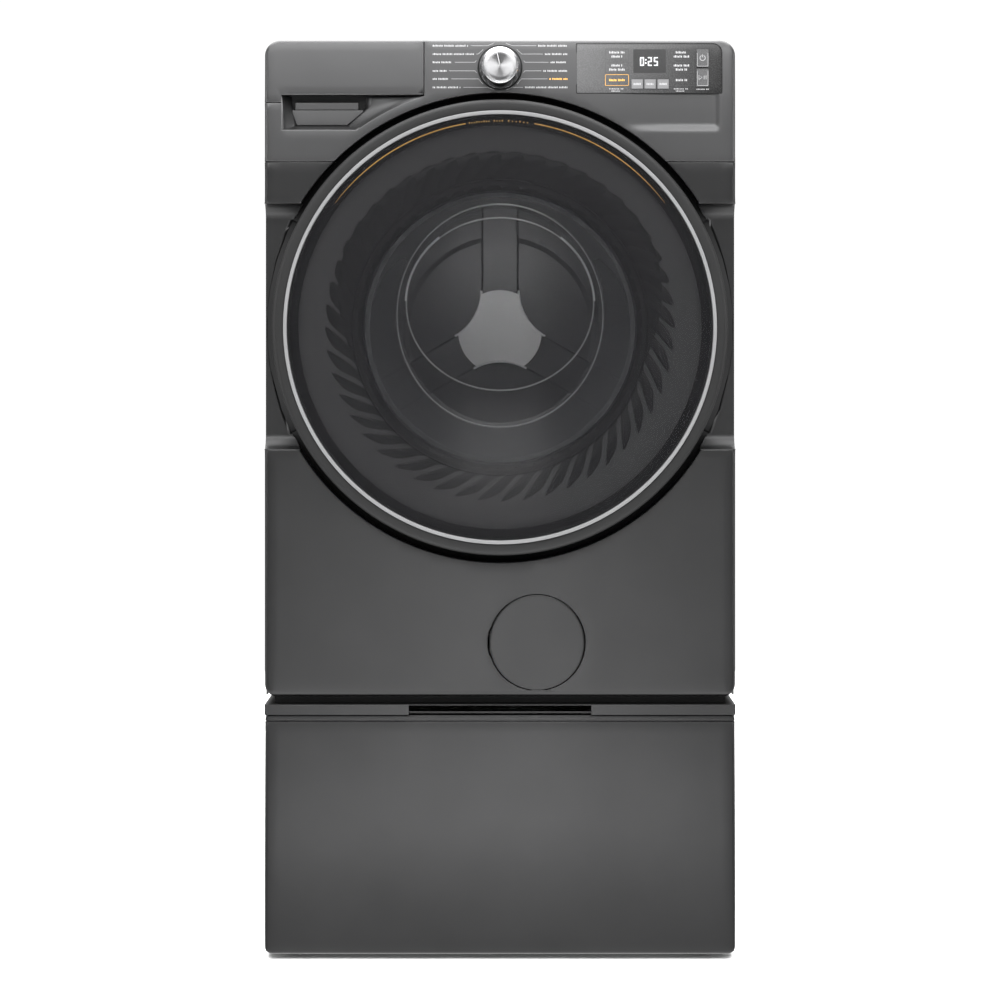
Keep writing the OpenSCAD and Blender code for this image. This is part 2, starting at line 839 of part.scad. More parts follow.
module pedestal_shell() {
    color([0.22, 0.22, 0.23]) difference() {
        block([-half_w, front_y, 8], [half_w, back_y, pedestal_top]);
        block([-half_w - 1, front_y - 1, 7], [half_w + 1, front_y + 23, drawer_top + 1.5]);
        block([-half_w + sheet, front_y + 22, 10],
            [half_w - sheet, back_y - sheet, pedestal_top - sheet]);
        block([-half_w + sheet, front_y + 2, drawer_top + 4], [half_w - sheet, front_y + 24,
            pedestal_top - sheet]);
        block([-133, front_y - 1, drawer_top], [133, front_y + 20, pedestal_top - 1]);
        for (x = [-300, 300], y = [-285, 340]) rod_z(x, y, 5, 15, 6.3);
    }
}

module pedestal_feet() {
    color([0.07, 0.07, 0.07]) for (x = [-300, 300], y = [-285, 340]) {
        rod_z(x, y, 0, 8, 22);
        rod_z(x, y, 8, 30, 6);
    }
}

module pedestal_outer_rails() {
    color([0.65, 0.65, 0.66]) both_sides() difference() {
        block([328, -300, rail_z - 22], [half_w - sheet, 340, rail_z + 22]);
        block([327, -301, rail_z - 15], [337, 341, rail_z + 15]);
    }
}

module pedestal_inner_rails() {
    color([0.65, 0.65, 0.66]) both_sides() difference() {
        block([306, -300, rail_z - 13], [333, 320, rail_z + 13]);
        block([308, -301, rail_z - 11], [331, 321, rail_z + 11]);
    }
}

module pedestal_drawer_front() {
    color([0.24, 0.24, 0.25]) difference() {
        plate(front_y, 22) round_bottom([-half_w, drawer_bottom], [half_w, drawer_top], 11);
        block([-half_w - 1, front_y - 1, 346], [half_w + 1, front_y + 1.5, 348]);
        block([-133, front_y + 16, 325], [133, front_y + 23, drawer_top + 1]);
        plate(front_y + 3, 17) round_bottom([-half_w + 3, drawer_bottom + 3], [half_w - 3, 322], 8);
    }
}

module pedestal_drawer_box() {
    color([0.6, 0.6, 0.6]) difference() {
        block([-306, front_y + 22, 30], [306, 330, 300]);
        block([-304, front_y + 24, 32], [304, 328, 301]);
    }
}

cabinet_shell();
top_panel();
lower_front_panel();
console_fascia();
touch_panel();
control_board();
rear_access_panel();
cabinet_screws();
base_pan();
door_lock();
door_hinge_bracket();
dispenser_housing();
dispenser_hose();
water_inlet_valve();
inlet_hoses();
drain_pump();
sump_hose();
drain_hose();
power_inlet();
suspension_springs();
damper_cylinders();
door_bellows();
pedestal_shell();
pedestal_feet();
pedestal_outer_rails();
tub_front();
tub_rear();
counterweights();
tub_heater();
tub_bearings();
drive_motor();
drive_belt();
damper_rods();
drum_shell();
drum_back();
drum_baffles();
drum_spider();
drum_pulley();
motor_pulley();
door_frame();
door_trim_ring();
door_glass();
door_vane_ring();
door_bowl();
door_inner_frame();
door_hinge_pin();
door_strike();
dispenser_front();
dispenser_tray();
cycle_knob();
power_key();
start_key();
temperature_key();
spin_key();
soil_key();
filter_cover();
drain_filter();
pedestal_drawer_front();
pedestal_drawer_box();
pedestal_inner_rails();
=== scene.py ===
import json
import math

import bmesh
import bpy
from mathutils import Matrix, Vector
from mathutils.geometry import delaunay_2d_cdt


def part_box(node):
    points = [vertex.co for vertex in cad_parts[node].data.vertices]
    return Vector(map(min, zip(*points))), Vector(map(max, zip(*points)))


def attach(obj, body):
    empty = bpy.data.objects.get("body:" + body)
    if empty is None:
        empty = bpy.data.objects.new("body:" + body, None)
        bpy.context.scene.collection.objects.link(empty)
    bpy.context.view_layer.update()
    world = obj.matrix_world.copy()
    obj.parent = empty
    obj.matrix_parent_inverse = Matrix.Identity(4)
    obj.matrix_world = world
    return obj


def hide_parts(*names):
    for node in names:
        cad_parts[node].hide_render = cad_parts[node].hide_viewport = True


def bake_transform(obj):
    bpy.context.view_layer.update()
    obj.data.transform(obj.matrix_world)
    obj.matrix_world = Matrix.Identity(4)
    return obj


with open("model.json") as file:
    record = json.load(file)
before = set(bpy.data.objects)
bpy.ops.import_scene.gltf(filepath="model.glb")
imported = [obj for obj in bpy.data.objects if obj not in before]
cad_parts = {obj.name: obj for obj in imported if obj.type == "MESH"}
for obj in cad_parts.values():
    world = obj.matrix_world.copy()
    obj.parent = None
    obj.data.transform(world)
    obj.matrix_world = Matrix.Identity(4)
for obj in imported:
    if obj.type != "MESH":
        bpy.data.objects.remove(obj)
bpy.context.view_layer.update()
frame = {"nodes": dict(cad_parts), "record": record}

# ---------------------------------------------------------------- sizes, in millimetres

# Shapes below are worked out in millimetres, and piece() turns them into metres.
MM = 0.001


def box(node):
    """Lowest and highest corners of a CAD node, in millimetres."""
    low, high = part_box(node)
    return Vector(low) / MM, Vector(high) / MM


PANEL_LOW, PANEL_HIGH = box("lower_front_panel")
HALF_W = PANEL_HIGH.x
FRONT_Y = PANEL_LOW.y
BASE_Z = PANEL_LOW.z
TOP_Z = box("console_fascia")[1].z
SEAM_Z = box("console_fascia")[0].z - 1
DOOR_LOW, DOOR_HIGH = box("door_frame")
DOOR_R = DOOR_HIGH.x
AXIS_Z = (DOOR_LOW.z + DOOR_HIGH.z) / 2
GLASS_Y = box("door_glass")[0].y
FILTER_LOW, FILTER_HIGH = box("filter_cover")
FILTER_Z = (FILTER_LOW.z + FILTER_HIGH.z) / 2
COVER_R = (FILTER_HIGH.z - FILTER_LOW.z) / 2
FILTER_X = FILTER_HIGH.x - COVER_R
KNOB_LOW, KNOB_HIGH = box("cycle_knob")
KNOB_Z = (KNOB_LOW.z + KNOB_HIGH.z) / 2
OVERLAY_LOW, OVERLAY_HIGH = box("touch_panel")
DRAWER_LOW, DRAWER_HIGH = box("pedestal_drawer_front")
MOUTH_R = 215  # loading opening
WELL_D = 23  # depth of the door well and of the hand scoops
WELL_R = DOOR_R + 10.5
WALL_D = 29  # depth of the front skins' side walls
FLOOR_Y = FRONT_Y + WELL_D
SCOOP_LOW = AXIS_Z - 177
SCOOP_HIGH = AXIS_Z + 181
EDGE_R = 6  # rounding of the body's side edges
CORNER_R = 22  # upper corners seen from the front


# ---------------------------------------------------------------- shapes: (points, faces)

def piece(name, shape, body, material, replaces=(), sharp=35, closed=True, front=False):
    """Adds a shape as a named piece. It rides on a body, or on none when body is None."""
    verts, faces = shape
    mesh = bpy.data.meshes.new(name)
    mesh.from_pydata([(x * MM, y * MM, z * MM) for x, y, z in verts], [], faces)
    bm = bmesh.new()
    bm.from_mesh(mesh)
    bmesh.ops.remove_doubles(bm, verts=bm.verts, dist=2e-6)
    bmesh.ops.dissolve_degenerate(bm, edges=bm.edges, dist=1e-7)
    if closed:
        bmesh.ops.recalc_face_normals(bm, faces=bm.faces)
    bm.to_mesh(mesh)
    bm.free()
    if front and sum(p.normal.y * p.area for p in mesh.polygons) > 0:
        mesh.flip_normals()
    obj = bpy.data.objects.new(name, mesh)
    bpy.context.collection.objects.link(obj)
    mesh.materials.append(material)
    mesh.shade_smooth()
    mesh.set_sharp_from_angle(angle=math.radians(sharp))
    if body:
        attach(obj, body)
    if replaces:
        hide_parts(*replaces)
    return obj


def skin_piece(name, shape, body, material, replaces=(), thick=1.2):
    """Open skin that faces the front, with its sheet thickness on the side away from it."""
    obj = piece(name, shape, body, material, replaces, closed=False, front=True)
    solid = obj.modifiers.new("thickness", "SOLIDIFY")
    solid.thickness = thick * MM
    solid.offset = -1


def join(*shapes):
    verts, faces = [], []
    for points, polygons in shapes:
        start = len(verts)
        verts += points
        faces += [tuple(start + i for i in f) for f in polygons]
    return verts, faces


def flipped(shape):
    """Same shape with its faces turned to point the other way."""
    return shape[0], [tuple(reversed(f)) for f in shape[1]]


def mirrored(shape):
    """Same shape on the other side of the machine."""
    return [(-x, y, z) for x, y, z in shape[0]], [tuple(reversed(f)) for f in shape[1]]


def loft(rows, closed_rows=True, closed_ends=False, caps=False):
    """Skin through rows of points that all have the same count."""
    n = len(rows[0])
    verts = [p for row in rows for p in row]
    faces = []
    for j in range(len(rows) if closed_ends else len(rows) - 1):
        k = (j + 1) % len(rows)
        for i in range(n if closed_rows else n - 1):
            m = (i + 1) % n
            faces.append((j * n + i, j * n + m, k * n + m, k * n + i))
    if caps:
        faces.append(tuple(reversed(range(n))))
        faces.append(tuple((len(rows) - 1) * n + i for i in range(n)))
    return verts, faces


def lathe(profile, steps, closed=True, cx=0.0, cz=AXIS_Z, start=0.0, end=360.0):
    """Solid or skin turned about an axis along Y, from (radius, y) points.
    Degrees go from +Z to +X."""
    full = abs(end - start) >= 359.9
    rows = []
    for s in range(steps if full else steps + 1):
        a = math.radians(start + (end - start) * s / steps)
        rows.append([(cx + r * math.sin(a), y, cz + r * math.cos(a)) for r, y in profile])
    return loft(rows, closed_rows=closed, closed_ends=full, caps=closed and not full)


def lathe_z(profile, cx, cy, steps):
    """Solid turned about an upright axis, from (radius, z) points."""
    rows = []
    for s in range(steps):
        a = 2 * math.pi * s / steps
        rows.append([(cx + r * math.cos(a), cy + r * math.sin(a), z) for r, z in profile])
    return loft(rows, closed_ends=True)


def tube(points, radius, sides, caps=True):
    """Round wire along points."""
    rows = []
    up = Vector((0.31, 0.17, 0.94))
    for i, p in enumerate(points):
        a = Vector(points[max(0, i - 1)])
        b = Vector(points[min(len(points) - 1, i + 1)])
        way = (b - a).normalized()
        side = way.cross(up).normalized()
        up = side.cross(way)
        rows.append([tuple(Vector(p) + radius * (side * math.cos(t) + up * math.sin(t)))
                     for t in (2 * math.pi * k / sides for k in range(sides))])
    return loft(rows, caps=caps)


def at_depth(loop, y):
    """Points of an XZ outline at one depth."""
    return [(x, y, z) for x, z in loop]


def plate(loop, y_front, thick):
    """Closed flat plate from an XZ outline."""
    return loft([at_depth(loop, y_front + thick), at_depth(loop, y_front)], caps=True)


def rect(x0, z0, x1, z1):
    return [(x0, z0), (x1, z0), (x1, z1), (x0, z1)]


def fillet(points, radius, steps, closed=True):
    """Outline with its corners rounded. radius is one number, or one for each corner."""
    out = []
    count = len(points)
    for i, p in enumerate(points):
        r = radius[i] if isinstance(radius, (list, tuple)) else radius
        p = Vector(p)
        if r <= 0 or (not closed and i in (0, count - 1)):
            out.append(tuple(p))
            continue
        a = (Vector(points[i - 1]) - p).normalized()
        b = (Vector(points[(i + 1) % count]) - p).normalized()
        half = a.angle(b) / 2
        cut = r / math.tan(half)
        centre = p + (a + b).normalized() * (r / math.sin(half))
        u, v = p + a * cut - centre, p + b * cut - centre
        sweep = u.angle(v)
        for k in range(steps + 1):
            t = k / steps
            w = (u * math.sin((1 - t) * sweep) + v * math.sin(t * sweep)) / math.sin(sweep)
            out.append(tuple(centre + w))
    return out


def arc(cx, cz, r, start, end, steps):
    """Points of an arc in the XZ plane, angles in degrees from +X towards +Z."""
    out = []
    for k in range(steps + 1):
        a = math.radians(start + (end - start) * k / steps)
        out.append((cx + r * math.cos(a), cz + r * math.sin(a)))
    return out


def well_x(z):
    """Half width of the door well at a height."""
    return math.sqrt(max(0.0, WELL_R ** 2 - (z - AXIS_Z) ** 2))


def well_angle(z):
    """Angle above the horizontal of the well's edge at a height, in degrees."""
    return math.degrees(math.asin((z - AXIS_Z) / WELL_R))


def smooth(low, high, v):
    """Soft step from 0 at low to 1 at high."""
    t = min(1.0, max(0.0, (v - low) / (high - low)))
    return t * t * (3 - 2 * t)


def offset_loop(loop, amounts):
    """Closed loop moved to its left, by one amount or one for each edge from point to next."""
    out = []
    n = len(loop)
    amounts = amounts if isinstance(amounts, list) else [amounts] * n
    for i in range(n):
        p, q, r = (Vector(loop[j % n]) for j in (i - 1, i, i + 1))
        d1, d2 = (q - p).normalized(), (r - q).normalized()
        n1, n2 = Vector((-d1.y, d1.x)), Vector((-d2.y, d2.x))
        a1, a2 = amounts[i - 1], amounts[i]
        c = n1.dot(n2)
        if abs(c) < 0.8:
            step = (n1 * (a1 - a2 * c) + n2 * (a2 - a1 * c)) / (1 - c * c)
        else:
            step = (n1 + n2) / max(0.4, 1 + c) * (a1 + a2) / 2
        out.append(tuple(q + step))
    return out


def divided(loop, longest):
    """Closed loop with points added so that no edge is longer than longest."""
    out = []
    for i, p in enumerate(loop):
        a, b = Vector(p), Vector(loop[(i + 1) % len(loop)])
        parts = max(1, math.ceil((b - a).length / longest))
        out += [tuple(a + (b - a) * k / parts) for k in range(parts)]
    return out


def inside(p, loops):
    """True where a point is within the loops by the even and odd rule."""
    hit = False
    for loop in loops:
        bx, bz = loop[-1]
        for ax, az in loop:
            if (az > p[1]) != (bz > p[1]) and p[0] < ax + (p[1] - az) * (bx - ax) / (bz - az):
                hit = not hit
            bx, bz = ax, az
    return hit


def fill_region(loops, spacing, dense):
    """Triangles that fill the area left of the loops. dense holds (x0, z0, x1, z1, spacing).
    Inner points keep one cell away from the loops."""
    cell = 4
    verts, edges = [], []
    for loop in loops:
        start, n = len(verts), len(loop)
        verts += [Vector(p) for p in loop]
        edges += [(start + i, start + (i + 1) % n) for i in range(n)]
    low = [min(v[i] for v in verts) for i in (0, 1)]
    high = [max(v[i] for v in verts) for i in (0, 1)]
    cells = {(v.x // cell, v.y // cell) for v in verts}
    inner = []
    for x0, z0, x1, z1, gap in [(low[0], low[1], high[0], high[1], spacing), *dense]:
        nx, nz = max(2, round((x1 - x0) / gap)), max(2, round((z1 - z0) / gap))
        for i in range(1, nx):
            for k in range(1, nz):
                p = Vector((x0 + (x1 - x0) * i / nx, z0 + (z1 - z0) * k / nz))
                within = any(d[0] < p.x < d[2] and d[1] < p.y < d[3] for d in dense)
                if gap == spacing and within:
                    continue
                near = {(p.x // cell + u, p.y // cell + v)
                        for u in (-1, 0, 1) for v in (-1, 0, 1)}
                if not near & cells and inside(p, loops):
                    inner.append(p)
    out = delaunay_2d_cdt(verts + inner, edges, [], 0, 1e-5, True)
    points, faces = out[0], out[2]
    keep = [tuple(f) for f in faces
            if inside(sum((points[i] for i in f), Vector((0, 0))) / len(f), loops)]
    return [tuple(p) for p in points], keep


def no_lift(x, z):
    return 0.0


def rimmed_plate(loops, rim, y_front, depth, spacing=12, lift=no_lift, dense=()):
    """Front skin with rounded rims and side walls. Each loop runs with the material on its left.
    rim(a, b) is the rounding of the edge from a to b, lift(x, z) how far back the face lies."""
    rim_steps = 6
    shapes, inner_loops = [], []
    for loop in loops:
        loop = divided(loop, spacing)
        n = len(loop)
        radii = [rim(loop[i], loop[(i + 1) % n]) for i in range(n)]
        rows = [at_depth(loop, y_front + depth)]
        for k in range(rim_steps + 1):
            a = k / rim_steps * math.pi / 2
            row = offset_loop(loop, [r * (1 - math.cos(a)) for r in radii])
            rows.append([(x, y_front + (radii[i - 1] + radii[i]) / 2 * (1 - math.sin(a))
                          + lift(x, z), z) for i, (x, z) in enumerate(row)])
        shapes.append(loft(rows))
        inner_loops.append(offset_loop(loop, radii))
    points, faces = fill_region(inner_loops, spacing, dense)
    shapes.append(([(x, y_front + lift(x, z), z) for x, z in points], faces))
    return join(*shapes)

# ---------------------------------------------------------------- materials

def new_material(name):
    material = bpy.data.materials.new(name)
    material.use_nodes = True
    return material, material.node_tree, material.node_tree.nodes["Principled BSDF"]


def feed(tree, node, inputs):
    """Sets inputs of a node by name, and links those whose value is another node's output."""
    for socket, value in inputs.items():
        if isinstance(value, bpy.types.NodeSocket):
            tree.links.new(value, node.inputs[socket])
        else:
            node.inputs[socket].default_value = value


def add_node(tree, kind, inputs, **settings):
    node = tree.nodes.new("ShaderNode" + kind)
    for key, value in settings.items():
        setattr(node, key, value)
    feed(tree, node, inputs)
    return node.outputs


def noise(tree, scale, detail=2.0):
    """Noise value in object space."""
    place = add_node(tree, "TexCoord", {})["Object"]
    return add_node(tree, "TexNoise", {"Scale": scale, "Detail": detail, "Vector": place})["Fac"]


def spread(tree, value, low, high, start=0.3, end=0.7):
    """Value mapped from start..end to low..high."""
    return add_node(tree, "MapRange", {"From Min": start, "From Max": end, "To Min": low,
                                       "To Max": high, "Value": value})["Result"]


def full_colour(c):
    """Red, green, blue and alpha, from one grey level or from three values."""
    return (*c, 1) if isinstance(c, tuple) else (c, c, c * 1.015, 1)


def mix_colours(tree, factor, a, b):
    return add_node(tree, "Mix", {"A": full_colour(a), "B": full_colour(b), "Factor": factor},
                    data_type="RGBA")["Result"]


def bumped(tree, value, strength, distance):
    return add_node(tree, "Bump", {"Strength": strength, "Distance": distance,
                                   "Height": value})["Normal"]


def finish(name, dark, light, rough, metallic=0.0, grain=900, bump=0.05, patch=9,
           distance=0.0002, coat=0.0, coat_rough=0.1, specular=0.5):
    """General finish: slow colour variation, uneven roughness and a fine surface grain."""
    material, tree, shader = new_material(name)
    broad = spread(tree, noise(tree, patch, 3), 0, 1)
    fine = noise(tree, grain)
    feed(tree, shader, {
        "Base Color": mix_colours(tree, broad, dark, light),
        "Roughness": spread(tree, fine, *rough), "Normal": bumped(tree, fine, bump, distance),
        "Metallic": metallic, "Coat Weight": coat, "Coat Roughness": coat_rough,
        "Specular IOR Level": specular})
    return material


def glass_material(name, colour, alpha, rough, specular):
    """Clear or tinted glass as a see-through layer with its own reflection."""
    material, tree, shader = new_material(name)
    feed(tree, shader, {
        "Roughness": spread(tree, noise(tree, 6, 1), rough, rough + 0.02),
        "Base Color": full_colour(colour), "Alpha": alpha, "IOR": 1.5,
        "Specular IOR Level": specular})
    material.surface_render_method = "BLENDED"
    return material


def spun_metal():
    """Turned metal face: brushed in circles, so its highlight opens into two wedges."""
    material, tree, shader = new_material("spun_metal")
    place = add_node(tree, "TexCoord", {})["Object"]
    flat = add_node(tree, "Mapping", {"Location": (0, 0, -KNOB_Z * MM), "Scale": (1, 0, 1),
                                      "Vector": place})["Vector"]
    radius = add_node(tree, "VectorMath", {0: flat}, operation="LENGTH")["Value"]
    rings = add_node(tree, "TexNoise", {"Scale": 9000, "W": radius}, noise_dimensions="1D")["Fac"]
    tangent = add_node(tree, "Tangent", {}, direction_type="RADIAL", axis="Y")["Tangent"]
    feed(tree, shader, {
        "Roughness": spread(tree, rings, 0.24, 0.34), "Tangent": tangent,
        "Base Color": mix_colours(tree, rings, 0.30, 0.42), "Metallic": 1.0,
        "Anisotropic": 0.85})
    return material


def overlay_gradient():
    """Printed touch panel: mid grey on the left, fading to near black on the right."""
    material, tree, shader = new_material("touch_overlay")
    place = add_node(tree, "TexCoord", {})["Object"]
    across = spread(tree, add_node(tree, "SeparateXYZ", {"Vector": place})["X"], 0, 1,
                    OVERLAY_LOW.x * MM, OVERLAY_HIGH.x * MM)
    fine = noise(tree, 800)
    feed(tree, shader, {
        "Base Color": mix_colours(tree, across, 0.095, 0.008),
        "Roughness": spread(tree, fine, 0.24, 0.30), "Normal": bumped(tree, fine, 0.02, 0.0001),
        "Specular IOR Level": 0.35})
    return material


def lit_print(name, colour, strength):
    """Display segment that shines through the overlay, a little unevenly."""
    material, tree, shader = new_material(name)
    for socket, share in (("Emission Color", 0.9), ("Base Color", 0.5)):
        dim = tuple(c * share for c in colour)
        feed(tree, shader, {socket: mix_colours(tree, noise(tree, 300), dim, colour)})
    shader.inputs["Emission Strength"].default_value = strength
    return material


# Height of the finest surface grain, in metres.
FINE = 0.00005

PAINT = finish("graphite_paint", 0.029, 0.033, (0.33, 0.37), metallic=0.85, grain=700,
               bump=0.03, distance=FINE, coat=0.08, coat_rough=0.28)
CONSOLE = finish("console_plastic", 0.068, 0.074, (0.33, 0.38), metallic=0.85, grain=800,
                 bump=0.03, distance=FINE, coat=0.1, coat_rough=0.3)
# Black plastic parts, and also the near-black sheets painted in for shade: the door well floor,
# the shadow behind the handle and the ring round the knob.
BLACK = finish("black_plastic_and_painted_shade", 0.004, 0.007, (0.5, 0.65), grain=700, bump=0.1, specular=0.2)
BEZEL = finish("door_bezel", 0.012, 0.014, (0.44, 0.5), metallic=0.3, grain=700,
               bump=0.03, distance=FINE, specular=0.35)
ZINC = finish("galvanised_steel", 0.30, 0.46, (0.32, 0.5), metallic=0.9, grain=120, patch=60)
TRIM = finish("silver_trim", 0.20, 0.22, (0.55, 0.60), metallic=0.6, bump=0.02)
RUBBER = finish("grey_rubber", 0.10, 0.13, (0.5, 0.65), grain=500, bump=0.08)
BLACK_RUBBER = finish("black_rubber", 0.010, 0.016, (0.6, 0.75), grain=400, bump=0.15)
DRUM_STEEL = finish("drum_steel", 0.07, 0.08, (0.42, 0.48), metallic=0.9, grain=200, bump=0.02)
# Painted sheen: the steel hub is near white, so it looks as bright as it does when lit.
HUB_PAINTED_SHEEN = finish("hub_painted_sheen", 0.95, 0.98, (0.5, 0.55), metallic=0.05, grain=300, bump=0.02)
# Near-white, for thin beads that stand for bright highlight lines: painted highlight.
PAINTED_HIGHLIGHT = finish("bead_painted_highlight", 0.92, 0.96, (0.3, 0.35), metallic=0.1, grain=60, bump=0.01)
# Dark plastic of the vent blades and throat, and also of the sheet painted in for shade over the
# upper half of the vent ring.
VANE_AND_SHADE = finish("vane_plastic_and_painted_shade", 0.006, 0.009, (0.36, 0.44), grain=500, specular=0.4)
BACKING = finish("door_backing", 0.076, 0.082, (0.5, 0.6), grain=600, bump=0.03, specular=0.3)
HANDLE_GREY = finish("handle_plate_grey", 0.060, 0.066, (0.45, 0.5), metallic=0.5,
                     grain=700, bump=0.03)
CHROME = finish("knob_chrome", 0.55, 0.60, (0.10, 0.16), metallic=1.0, grain=300, bump=0.01)
GOLD = finish("gold_print", (0.80, 0.43, 0.09), (0.88, 0.48, 0.11), (0.35, 0.45),
              metallic=0.3, grain=600, bump=0.02)
KEY_LINE = finish("key_outline", 0.022, 0.026, (0.4, 0.5), grain=600, bump=0.02)
SOFT_WHITE = finish("key_outline_print", 0.34, 0.38, (0.5, 0.6), grain=600, bump=0.02)
WHITE_PRINT = finish("white_print", 0.40, 0.44, (0.5, 0.6), grain=600, bump=0.02)
DISPLAY = finish("display_window", 0.028, 0.032, (0.12, 0.16), grain=300, bump=0.01)
# Near-white, for tubes that stand for the bright lines on the bowl's glass edges: painted
# highlight.
GLASS_EDGE_HIGHLIGHT = finish("glass_edge_painted_highlight", 0.9, 0.95, (0.2, 0.25), metallic=0.5, grain=60, bump=0.01)
TINTED = glass_material("tinted_glass", (0.012, 0.012, 0.013), 0.40, 0.12, 0.06)
CLEAR = glass_material("clear_glass", (0.20, 0.21, 0.22), 0.10, 0.30, 0.1)
SMOKE = glass_material("bowl_side_glass", (0.16, 0.165, 0.17), 0.55, 0.35, 0.2)
SPUN = spun_metal()
TOUCH = overlay_gradient()
DIGITS = lit_print("display_digits", (0.95, 0.97, 1.0), 0.7)

SLOT_MATERIALS = {
    "graphite_paint": PAINT, "console_plastic": CONSOLE, "dark_plastic": BLACK,
    "door_plastic": BEZEL, "galvanised_steel": ZINC, "chrome_trim": TRIM, "tinted_glass": TINTED,
    "clear_glass": CLEAR, "rubber_grey": RUBBER, "rubber_black": BLACK_RUBBER,
    "overlay": finish("overlay_print", 0.075, 0.082, (0.25, 0.3), grain=800, bump=0.02),
    "key_plastic": finish("key_plastic", 0.17, 0.19, (0.35, 0.42), metallic=0.2),
    "stainless": finish("stainless", 0.42, 0.5, (0.22, 0.30), metallic=1.0, grain=300, bump=0.03),
    "tub_plastic": finish("tub_plastic", 0.50, 0.56, (0.4, 0.55), grain=300, bump=0.1),
    "tray_plastic": finish("tray_plastic", (0.30, 0.36, 0.42), (0.33, 0.40, 0.46),
                           (0.3, 0.42), grain=400),
    "concrete": finish("concrete", 0.26, 0.38, (0.8, 0.95), grain=160, bump=0.5,
                       patch=40, distance=0.0008),
    "cast_aluminium": finish("cast_aluminium", 0.42, 0.5, (0.4, 0.55), metallic=0.9,
                             grain=260, bump=0.2, distance=0.0004),
    "circuit_board": finish("circuit_board", (0.01, 0.08, 0.02), (0.015, 0.11, 0.03),
                            (0.3, 0.45), grain=200, bump=0.1),
    "valve_plastic": finish("valve_plastic", (0.02, 0.05, 0.25), (0.03, 0.07, 0.3),
                            (0.35, 0.5), grain=400, bump=0.08),
}
# Rounding of the sharp edges of CAD nodes that stay in view, in millimetres.
NODE_BEVELS = {
    "cabinet_shell": 1.5, "rear_access_panel": 0.5, "pedestal_shell": 1.5, "pedestal_feet": 2.0,
    "power_inlet": 0.8, "water_inlet_valve": 0.6, "drum_baffles": 6.0, "power_key": 0.4,
    "start_key": 0.4, "temperature_key": 0.6, "spin_key": 0.6, "soil_key": 0.6,
}


def finish_cad_nodes():
    """Gives every CAD node its procedural material, and rounds the edges of those in view."""
    for part in frame["record"]["subparts"]:
        obj = frame["nodes"][part["node"]]
        obj.data.materials.clear()
        obj.data.materials.append(SLOT_MATERIALS[part["material_slot"]])
        if part["node"] in NODE_BEVELS:
            bevel = obj.modifiers.new("rounding", "BEVEL")
            bevel.width = NODE_BEVELS[part["node"]] * MM
            bevel.segments = 3
            bevel.limit_method = "ANGLE"
            bevel.angle_limit = math.radians(40)


finish_cad_nodes()

# ---------------------------------------------------------------- lower front panel

def panel_rim(a, b):
    """Rounding of each edge of the lower front panel."""
    x, z = abs(a[0] + b[0]) / 2, (a[1] + b[1]) / 2
    if z < BASE_Z + 0.5:
        return 10
    if z < BASE_Z + 17.6 and x > HALF_W - 17.6:
        return 8
    if x > HALF_W - 0.5:
        return EDGE_R
    if abs(z - SCOOP_LOW) < 0.5:
        return 2.4
    if math.hypot(x, z - AXIS_Z) > WELL_R - 1:
        return 2.2 if abs(math.hypot(x, z - AXIS_Z) - WELL_R) < 1 else 0.8
    return 0.9


def lower_face():
    low = well_angle(SCOOP_LOW)
    body = [(-HALF_W, BASE_Z), (HALF_W, BASE_Z), (HALF_W, SCOOP_LOW)]
    body = fillet(body + [(-HALF_W, SCOOP_LOW)], [17.5, 17.5, 0, 0], 8)
    edge = arc(0, AXIS_Z, WELL_R, low, -180 - low, 120)
    loop = body[:-1] + edge + body[-1:]
    hole = []
    for k in range(96):
        angle = 360 - 3.75 * k
        # The gap is wider beside the hinge, where the open cover's edge swings in.
        clear = 1.1 + 1.5 * (1 - smooth(14, 18, abs(angle - 180)))
        hole += arc(FILTER_X, FILTER_Z, COVER_R + clear, angle, angle, 1)[:1]
    return rimmed_plate([loop, hole], panel_rim, FRONT_Y, WALL_D, 14)


def upper_corner():
    """Face between a hand scoop and the seam under the console, on the right."""
    edge = arc(0, AXIS_Z, WELL_R, well_angle(SEAM_Z), well_angle(SCOOP_HIGH), 14)
    loop = edge + [(HALF_W, SCOOP_HIGH), (HALF_W, SEAM_Z)]
    return rimmed_plate([loop], panel_rim, FRONT_Y, WALL_D, 14)


def scoop():
    """Hand scoop beside the door on the right. Its floor curves forward to both edges."""
    steps = 14
    cove = [(FRONT_Y + WELL_D * math.sin(a), WELL_D * (1 - math.cos(a)))
            for a in (math.pi / 2 * k / steps for k in range(steps + 1))]
    profile = [(y, SCOOP_HIGH - z) for y, z in cove]
    upper = len(profile)
    profile += [(FLOOR_Y, AXIS_Z + z) for z in (140, 100, 60, 24, -24, -60, -120)]
    lower = len(profile)
    profile += [(y, SCOOP_LOW + z) for y, z in reversed(cove)]
    rows, wall = [], []
    for y, z in profile:
        x_in = min(HALF_W, well_x(z))
        row = [(x_in + (HALF_W - x_in) * i / 6, y, z) for i in range(7)]
        rows.append(row + [(HALF_W, max(y, FRONT_Y + WALL_D), z)])
        wall.append([(x_in, y, z), (x_in, max(y, FLOOR_Y), z)])
    return flipped(join(loft(rows, closed_rows=False), loft(wall[:upper], closed_rows=False),
                        loft(wall[lower:], closed_rows=False)))


def well_floor(start, end):
    """Floor of the door well between two angles, in degrees from the top towards the right."""
    profile = [(MOUTH_R, FLOOR_Y), (MOUTH_R + 40, FLOOR_Y), (WELL_R, FLOOR_Y)]
    return flipped(lathe(profile, 90, closed=False, start=start, end=end))


